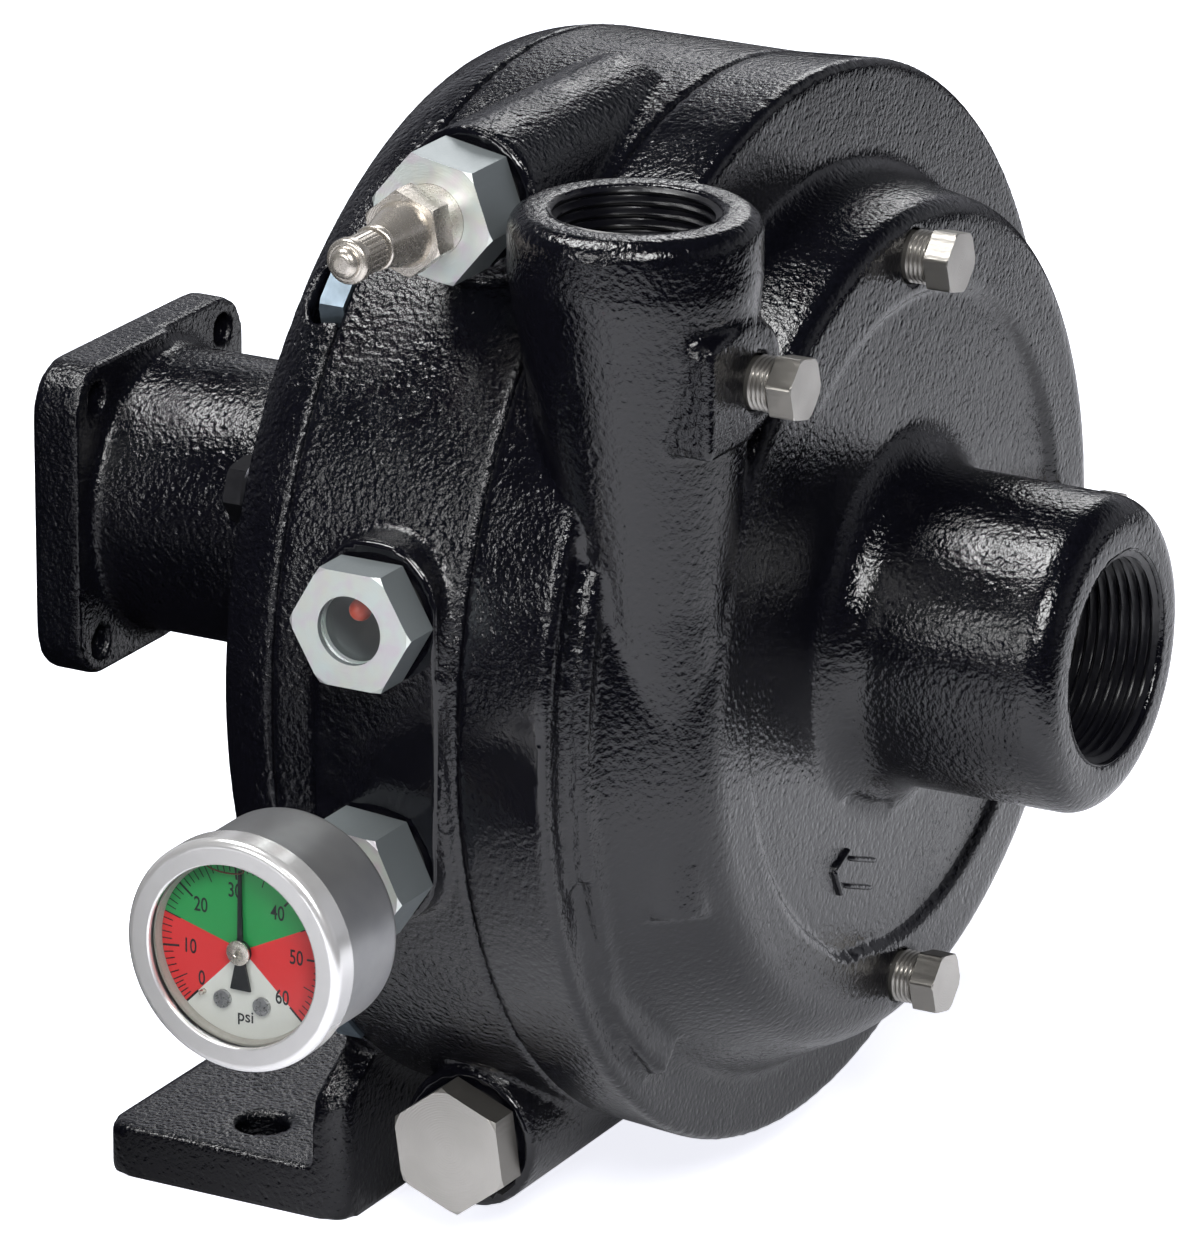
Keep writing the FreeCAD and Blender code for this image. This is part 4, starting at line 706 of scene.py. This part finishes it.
def makeFlowArrow(setup):
    # raised lines of a plain rotation arrow, rounded over as a pattern maker's wax fillet leaves them
    slope = math.radians(setup["slope"])
    shift = Vector((0, setup["offset"]))
    strokes = [((0, 0), (setup["depth"], setup["half"])), ((0, 0), (setup["depth"], -setup["half"]))]
    for side in (setup["lineSide"], -setup["lineSide"]):
        strokes.append(((setup["lineStart"], side), (setup["length"], side)))
    steps, sides = setup["steps"], setup["sides"]
    vertices = []
    faces = []
    for start, end in strokes:
        begin, finish = Vector(start) + shift, Vector(end) + shift
        along = (finish - begin).normalized()
        across = Vector((-along.y, along.x))
        base = len(vertices)
        for step in range(steps + 1):
            share = step / steps
            fade = math.sqrt(max(0.0, 1 - (2 * share - 1) ** setup["endPower"]))
            for corner in range(sides + 1):
                turn = math.pi * corner / sides
                flat = begin + (finish - begin) * share + across * setup["lineHalf"] * fade * math.cos(turn)
                lift = setup["height"] * fade * math.sin(turn) ** setup["roundPower"]
                if corner in (0, sides):
                    lift -= setup["sink"]
                x = setup["tip"][0] + flat.x * math.cos(slope) - flat.y * math.sin(slope)
                z = setup["tip"][1] + flat.x * math.sin(slope) + flat.y * math.cos(slope)
                vertices.append(Vector((x, setup["faceY"] - lift, z)) * mm)
        for step in range(steps):
            for corner in range(sides):
                first = base + step * (sides + 1) + corner
                faces.append((first, first + 1, first + sides + 2, first + sides + 1))
    addPiece("flow_arrow", vertices, faces, smoothEnamelMaterial, "pump_body", 60.0)


makeFlowArrow(flowArrow)
print("castings skinned")


# Pipe threads inside the two ports

pipeThread = {
    "depth": 1.15, "pitch": 2.209, "rowsPerPitch": 8, "sides": 144,
    "leadIn": 1.2, "fadeOut": 2.0,  # mm over which the mouth is turned open and the last turns run out
    "buried": 0.6, "collar": 0.4, "skin": 0.05,  # mm: the sleeve's outside, its outer end, its least wall
}
portThreads = {
    "suction": dict(pipeThread, root=20.4, length=25.0, axis="y", inward=1),
    "discharge": dict(pipeThread, root=15.6, length=24.0, axis="z", inward=-1),
}


def makePortThread(name, setup, mouth):
    count = int(setup["length"] / setup["pitch"] * setup["rowsPerPitch"])
    inside = [setup["length"] * row / count for row in range(count + 1)]
    outside = [setup["length"], setup["collar"]]
    buried = setup["root"] + setup["buried"]

    def radiusAt(number, station, angle):
        if number > count:
            return buried
        depth = abs(station)
        leadIn = max(0.0, setup["leadIn"] - depth)
        crest = setup["depth"] * threadWave(depth * setup["inward"], angle, setup["pitch"])
        fade = min(max((setup["length"] - depth) / setup["fadeOut"], 0.0), 1.0)
        return min(setup["root"] - crest * fade + leadIn, buried - setup["skin"])

    stations = [s * setup["inward"] for s in inside + outside]
    vertices, faces = lathed(stations, radiusAt, mouth, setup["axis"], setup["sides"], closed=True)
    return addPiece(name, vertices, faces, enamelThread, "pump_body", 25.0)


enamelThread = makeCastEnamel("threadEnamel", dict(castEnamel, roughness=(0.28, 0.42)), 0.12)
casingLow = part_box("volute_casing")[0]
shaftLine = (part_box("shaft")[0].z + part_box("shaft")[1].z) / 2
suctionMouth = Vector((0, casingLow.y, shaftLine))
neckPlace = {"x": -79.6, "y": -91.5, "top": 214.2}
dischargeMouth = Vector((neckPlace["x"], neckPlace["y"], neckPlace["top"])) * mm
makePortThread("suction_thread", portThreads["suction"], suctionMouth)
makePortThread("discharge_thread", portThreads["discharge"], dischargeMouth)
print("port threads cut")


# Pipe plugs with their threads, in place of the plain solids

plugSize = {
    "thread": 5.15, "pitch": 0.941, "depth": 0.42, "rowsPerPitch": 8, "flats": 11.1, "turn": 17.0,
    "buried": 5.0, "showing": 4.5, "neck": 0.6, "neckShare": 0.86, "hex": 5.0,
}
stepWidth = 0.01  # mm along the axis between the two rings of a square step
chamferAngle = math.radians(30)


def hexRadius(flats, angle, turnDegrees):
    # distance from the axis to a hexagon's edge; corners stand at the turn angle
    sector = math.radians(60)
    local = (angle - math.radians(turnDegrees)) % sector - sector / 2
    return flats / 2 / math.cos(local)


def hexStations(start, length, flats, chamferShare=1.07, steps=5):
    # stations along a hexagon whose far end has its corners turned off
    drop = (flats / math.sqrt(3) - flats / 2 * chamferShare) * math.tan(chamferAngle)
    edge = [start + (length - drop) + drop * step / steps for step in range(steps + 1)]
    return [start, start + length - drop - stepWidth] + edge, drop


def makeThreadedPlug(name, size, seat, direction, axis, material, replaced):
    # seat is the point where the thread leaves the casting; direction is the way out along the axis
    perPitch = size["rowsPerPitch"]
    rowCount = int(size["showing"] / size["pitch"] * perPitch) + 1
    rows = [row * size["pitch"] / perPitch for row in range(rowCount)]
    threadEnd = size["showing"] - size["neck"]
    stations = [-size["buried"]] + [row for row in rows if row < threadEnd]
    stations += [threadEnd, threadEnd + stepWidth, size["showing"]]
    threadCount = len(stations)
    hexStart = size["showing"]
    shape, drop = hexStations(hexStart, size["hex"], size["flats"])
    stations += shape
    corner = size["flats"] / math.sqrt(3)
    end = hexStart + size["hex"]

    def radiusAt(number, station, angle):
        along = abs(station)
        if number >= threadCount:
            cone = corner - max(0.0, along - (end - drop)) / math.tan(chamferAngle)
            return min(hexRadius(size["flats"], angle * direction, size["turn"]), cone)
        if number >= threadCount - 2:
            return size["thread"] * size["neckShare"]
        if number == 0:
            return size["thread"]
        return size["thread"] - size["depth"] * (1 - threadWave(along, angle, size["pitch"]))

    vertices, faces = lathed([s * direction for s in stations], radiusAt, seat, axis, 96)
    piece = addPiece(name, vertices, faces, material, "pump_body", 28.0)
    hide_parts(replaced)
    return piece


plugPlaces = {"faceBehindNose": 43.8, "circle": 72.6, "boss": (-75.0, -6.0, 69.5)}  # mm
faceY = casingLow.y + plugPlaces["faceBehindNose"] * mm
plugCircle = plugPlaces["circle"] * mm
bossX, bossY, bossZ = plugPlaces["boss"]
plugSeats = [
    Vector((0, faceY, shaftLine + plugCircle)),
    Vector((0, faceY, shaftLine - plugCircle)),
    Vector((plugCircle, faceY, shaftLine)),
    Vector((bossX * mm, faceY + bossY * mm, shaftLine + bossZ * mm)),
]
for number, seat in enumerate(plugSeats):
    steel = makeMetal("plugSteel" + str(number + 1), stainlessBar, seat, "y")
    makeThreadedPlug("casing_plug_" + str(number + 1), plugSize, seat, -1, "y", steel, "casing_plugs")
print("plugs made")


# Printing on the gauge's dial

dialPrint = {
    "tickOuter": 16.9, "minor": 2.0, "middle": 3.4, "major": 3.5,
    "minorWidth": 0.22, "majorWidth": 0.42, "digitHeight": 2.85, "digitNarrow": 0.74, "digitRing": 11.2,
    "digitTurns": {0: 6.0, 30: -3.0},  # degrees that a number stands off its mark
    "unitDrop": 12.8, "unitSide": 0.5, "unitHeight": 2.3, "lift": 0.05,
    "middlePsi": 30.0, "middleAngle": -5.0, "degreesPerPsi": 4.6,
    "zeroAngle": -135.5, "firstDegreesPerPsi": 3.1, "firstPsi": 5,  # the first marks stand closer
    "strokeGrowth": 0.012, "capitalShare": 0.72,  # of the letters' size: thicker strokes, a capital's height
}


def psiAngle(psi, setup):
    even = setup["middleAngle"] + setup["degreesPerPsi"] * (psi - setup["middlePsi"])
    first = setup["zeroAngle"] + setup["firstDegreesPerPsi"] * min(psi, setup["firstPsi"])
    return math.radians(max(even, first))


def dialPoint(sideways, upward, lift):
    # sideways runs to the right as one faces the dial, which is towards -Y
    return Vector((dialLow.x - lift * mm, dialCentre.y - sideways * mm, dialCentre.z + upward * mm))


def textFaces(words, height, narrow, sideways, upward, lift):
    # outline of printed words as flat faces on the dial
    curve = bpy.data.curves.new("words", "FONT")
    curve.body = words
    curve.size = 1.0
    curve.align_x = "CENTER"
    curve.align_y = "CENTER"
    curve.offset = dialPrint["strokeGrowth"]
    holder = bpy.data.objects.new("words", curve)
    mesh = bpy.data.meshes.new_from_object(holder)
    scale = height / dialPrint["capitalShare"]
    vertices = []
    for vertex in mesh.vertices:
        x, y = vertex.co.x * scale * narrow, vertex.co.y * scale
        vertices.append(dialPoint(sideways + x, upward + y, lift))
    faces = [tuple(face.vertices) for face in mesh.polygons]
    bpy.data.objects.remove(holder)
    bpy.data.meshes.remove(mesh)
    return vertices, faces


def makeDialPrint(setup):
    vertices = []
    faces = []

    def add(newVertices, newFaces):
        start = len(vertices)
        vertices.extend(newVertices)
        faces.extend(tuple(start + index for index in face) for face in newFaces)

    for psi in range(61):
        angle = psiAngle(psi, setup)
        length = setup["major"] if psi % 10 == 0 else setup["middle"] if psi % 5 == 0 else setup["minor"]
        half = (setup["majorWidth"] if psi % 10 == 0 else setup["minorWidth"]) / 2
        corners = []
        for radius, side in ((setup["tickOuter"], half), (setup["tickOuter"], -half),
                             (setup["tickOuter"] - length, -half), (setup["tickOuter"] - length, half)):
            sideways = radius * math.sin(angle) + side * math.cos(angle)
            upward = radius * math.cos(angle) - side * math.sin(angle)
            corners.append(dialPoint(sideways, upward, setup["lift"]))
        add(corners, [(0, 1, 2, 3)])
    for psi in range(0, 61, 10):
        angle = psiAngle(psi, setup) + math.radians(setup["digitTurns"].get(psi, 0.0))
        ring = setup["digitRing"]
        add(*textFaces(str(psi), setup["digitHeight"], setup["digitNarrow"], ring * math.sin(angle),
                       ring * math.cos(angle), setup["lift"]))
    add(*textFaces("psi", setup["unitHeight"], 1.0, setup["unitSide"], -setup["unitDrop"], setup["lift"]))
    return addPiece("dial_print", vertices, faces, inkMaterial, "pump_body")


makeDialPrint(dialPrint)


hubSize = {
    "radius": 2.35, "edge": 0.3, "edgeRun": 0.12, "thickness": 0.4,
    "dimple": 0.9, "dimpleFloor": 0.75, "dimpleDepth": 0.15, "pin": 0.45, "pinRise": 0.1, "pinTaper": 0.05,
}


def makeNeedleHub(size):
    # pressed disc over the needle's boss, with the spindle's end in its middle
    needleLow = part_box("gauge_needle")[0]
    seat = Vector((needleLow.x, dialCentre.y, dialCentre.z))
    top = -size["thickness"]
    floor = top + size["dimpleDepth"]
    profile = [
        (0.0, size["radius"]), (top + size["edgeRun"], size["radius"]), (top, size["radius"] - size["edge"]),
        (top, size["dimple"]), (floor, size["dimpleFloor"]), (floor, size["pin"]),
        (top - size["pinRise"], size["pin"] - size["pinTaper"]),
    ]
    turnedPiece("needle_hub", profile, seat, 64, plainMetals["hub"], "gauge_needle")


makeNeedleHub(hubSize)


zeroPin = {
    "sideways": -8.22, "upward": -9.45, "radius": 0.5, "height": 1.4, "sunk": 0.3,
    "crown": ((0.25, 1.0), (0.07, 0.8), (0.0, 0.4)),  # mm below the top, share of the radius
}


def makeZeroPin(size):
    # the stop that the needle rests against at zero
    seat = dialPoint(size["sideways"], size["upward"], 0.0)
    profile = [(size["sunk"], size["radius"])]
    profile += [(below - size["height"], size["radius"] * share) for below, share in size["crown"]]
    turnedPiece("zero_pin", profile, seat, 32, plainMetals["hub"], "pump_body")


makeZeroPin(zeroPin)


dialRing = {"inner": 16.9, "outer": 17.25, "wall": 0.35, "intoWindow": 0.15, "aheadOfDial": 0.12}


def makeDialRing(size):
    # pale spacer ring that keeps the dial away from the window
    seat = Vector((dialLow.x, dialCentre.y, dialCentre.z))
    back = -size["aheadOfDial"]
    front = windowHigh.x / mm - dialLow.x / mm + size["intoWindow"]
    profile = [(back, size["inner"]), (front, size["outer"]), (front, size["outer"] + size["wall"]),
               (back, size["inner"] + size["wall"])]
    turnedPiece("dial_ring", profile, seat, 120, ringMaterial, "pump_body", closed=True)


makeDialRing(dialRing)


fluidEdge = {
    "sideways": -2.6, "upward": 15.9, "halfWidth": 3.9, "halfHeight": 0.95, "line": 0.17, "lift": 1.6,
    "around": 60, "across": 8,
}


def makeFluidEdge(size):
    # edge of the bubble left at the top of the gauge's damping fluid
    vertices = []
    faces = []
    around, across = size["around"], size["across"]
    for step in range(around):
        angle = 2 * math.pi * step / around
        for corner in range(across):
            turn = 2 * math.pi * corner / across
            reach = size["line"] * math.cos(turn)
            vertices.append(dialPoint(size["sideways"] + (size["halfWidth"] + reach) * math.cos(angle),
                                      size["upward"] + (size["halfHeight"] + reach) * math.sin(angle),
                                      size["lift"] + size["line"] * math.sin(turn)))
    for step in range(around):
        for corner in range(across):
            first = step * across + corner
            beside = step * across + (corner + 1) % across
            ahead = ((step + 1) % around) * across
            faces.append((first, beside, ahead + (corner + 1) % across, ahead + corner))
    addPiece("fluid_edge", vertices, faces, fluidMaterial, "pump_body")


makeFluidEdge(fluidEdge)
print("gauge printed")


# Studio: a sheet of white paper on a dark table, a dim room and soft boxes

studio = {
    "paperLow": (-0.85, -0.54), "paperHigh": (1.4, 0.05),  # the paper's corners on the table, in metres
    "bendStart": -0.35, "bendSlope": 1.2,  # left of this x, in metres, the paper's back edge slants away
    "edgeSoftness": 0.12, "paperGlow": 0.18, "paperColour": "#f2f3f8", "tableColour": "#131317",
    "mirrorShare": 0.15,  # how much of the extra glow that the camera sees shows in metal and glass
    # painted shadow: for all rays but the camera's, the paper's glow is dimmed under the pump, down to the
    # share below at its foot
    "paintedShadeReach": (0.06, 0.16), "paintedShade": 0.25,  # the paper under the pump, in metres from its foot
    "tableSize": 14.0, "seenGlow": 0.9,
    "glowColour": "#f6f7ff",
    "horizon": "#9c9da3", "darkSide": "#1d1d22", "ceiling": "#17181c",
    "sideRange": (-0.3, 0.6),  # x of the direction from the dark side to the horizon's light
    "ceilingRange": (0.3, 0.6),  # z of the direction from there to the ceiling
    "lampMiddle": (-0.03, -0.06, 0.11),
    "lamps": [
        # name, place in metres from the pump's middle, width and height in metres, watts
        ("topBox", (-0.10, 0.45, 1.15), (0.5, 0.5), 14.0),
        ("leftBox", (-0.62, 0.12, 0.26), (0.2, 0.2), 1.1),
        ("rightBox", (1.35, 0.50, 0.75), (0.4, 0.5), 2.5),
        ("frontBox", (-1.35, -1.0, 1.35), (0.8, 0.8), 36.0),
    ],
}


def paperShare(tree, setup):
    # 1 on the paper and 0 on the table round it, with a soft edge
    place = addNode(tree, "SeparateXYZ", {0: objectPlace(tree)})
    left = mathOf(tree, "MINIMUM", mathOf(tree, "SUBTRACT", place.outputs["X"], setup["bendStart"]), 0.0)
    bent = mathOf(tree, "MULTIPLY_ADD", left, setup["bendSlope"], place.outputs["Y"])
    soft = setup["edgeSoftness"]
    (lowX, lowY), (highX, highY) = setup["paperLow"], setup["paperHigh"]
    share = spread(tree, place.outputs["X"], lowX, lowX + soft, 0.0, 1.0)
    for value, low, high in ((place.outputs["X"], highX - soft, highX), (bent, highY - soft, highY)):
        share = mathOf(tree, "MULTIPLY", share, spread(tree, value, low, high, 1.0, 0.0))
    return mathOf(tree, "MULTIPLY", share, spread(tree, place.outputs["Y"], lowY, lowY + soft, 0.0, 1.0))


def makeFloor(setup):
    half = setup["tableSize"] / 2
    mesh = bpy.data.meshes.new("floor")
    corners = [(-half, -half, 0), (half, -half, 0), (half, half, 0), (-half, half, 0)]
    mesh.from_pydata(corners, [], [(0, 1, 2, 3)])
    floor = bpy.data.objects.new("floor", mesh)
    bpy.context.scene.collection.objects.link(floor)
    # the camera sees paper everywhere; mirrors see where it ends
    material, tree, shader = startMaterial("paperFloor", setup["paperColour"], 0.9, Specular_IOR_Level=0.0)
    seen = addNode(tree, "LightPath").outputs["Is Camera Ray"]
    share = mathOf(tree, "MAXIMUM", seen, paperShare(tree, setup))
    colour = mixColours(tree, share, setup["tableColour"], setup["paperColour"])
    tree.links.new(colour, shader.inputs["Base Color"])
    shader.inputs["Emission Color"].default_value = toLinear(setup["glowColour"])
    rays = addNode(tree, "LightPath")
    mirrored = mathOf(tree, "MAXIMUM", rays.outputs["Is Glossy Ray"], rays.outputs["Is Transmission Ray"])
    extra = mathOf(tree, "MAXIMUM", seen, mathOf(tree, "MULTIPLY", mirrored, setup["mirrorShare"]))
    glow = spread(tree, extra, 0.0, 1.0, setup["paperGlow"], setup["seenGlow"])
    # painted shadow: rays other than the camera's see the paper's glow dimmed near the pump
    away = vectorOf(tree, "LENGTH", objectPlace(tree))
    under = mathOf(tree, "MAXIMUM", seen, spread(tree, away, *setup["paintedShadeReach"], setup["paintedShade"], 1.0))
    strength = mathOf(tree, "MULTIPLY", mathOf(tree, "MULTIPLY", glow, share), under)
    tree.links.new(strength, shader.inputs["Emission Strength"])
    mesh.materials.append(material)


def makeWorld(setup):
    world = bpy.data.worlds.new("studioWorld")
    world.use_nodes = True
    tree = world.node_tree
    direction = addNode(tree, "TexCoord").outputs["Generated"]
    parts = addNode(tree, "SeparateXYZ", {0: direction})
    side = spread(tree, parts.outputs["X"], *setup["sideRange"], 0.0, 1.0)
    level = mixColours(tree, side, setup["darkSide"], setup["horizon"])
    share = spread(tree, parts.outputs["Z"], *setup["ceilingRange"], 0.0, 1.0)
    colour = mixColours(tree, share, level, setup["ceiling"])
    tree.links.new(colour, tree.nodes["Background"].inputs["Color"])
    bpy.context.scene.world = world


def makeLamps(setup):
    middle = Vector(setup["lampMiddle"])
    for name, offset, (width, height), watts in setup["lamps"]:
        data = bpy.data.lights.new(name, "AREA")
        data.shape = "RECTANGLE"
        data.size = width
        data.size_y = height
        data.energy = watts
        lamp = bpy.data.objects.new(name, data)
        lamp.visible_camera = False
        lamp.location = middle + Vector(offset)
        lamp.rotation_euler = (-Vector(offset)).to_track_quat("-Z", "Y").to_euler()
        bpy.context.scene.collection.objects.link(lamp)


makeFloor(studio)
makeWorld(studio)
makeLamps(studio)
print("studio lit")

print("pieces ready")
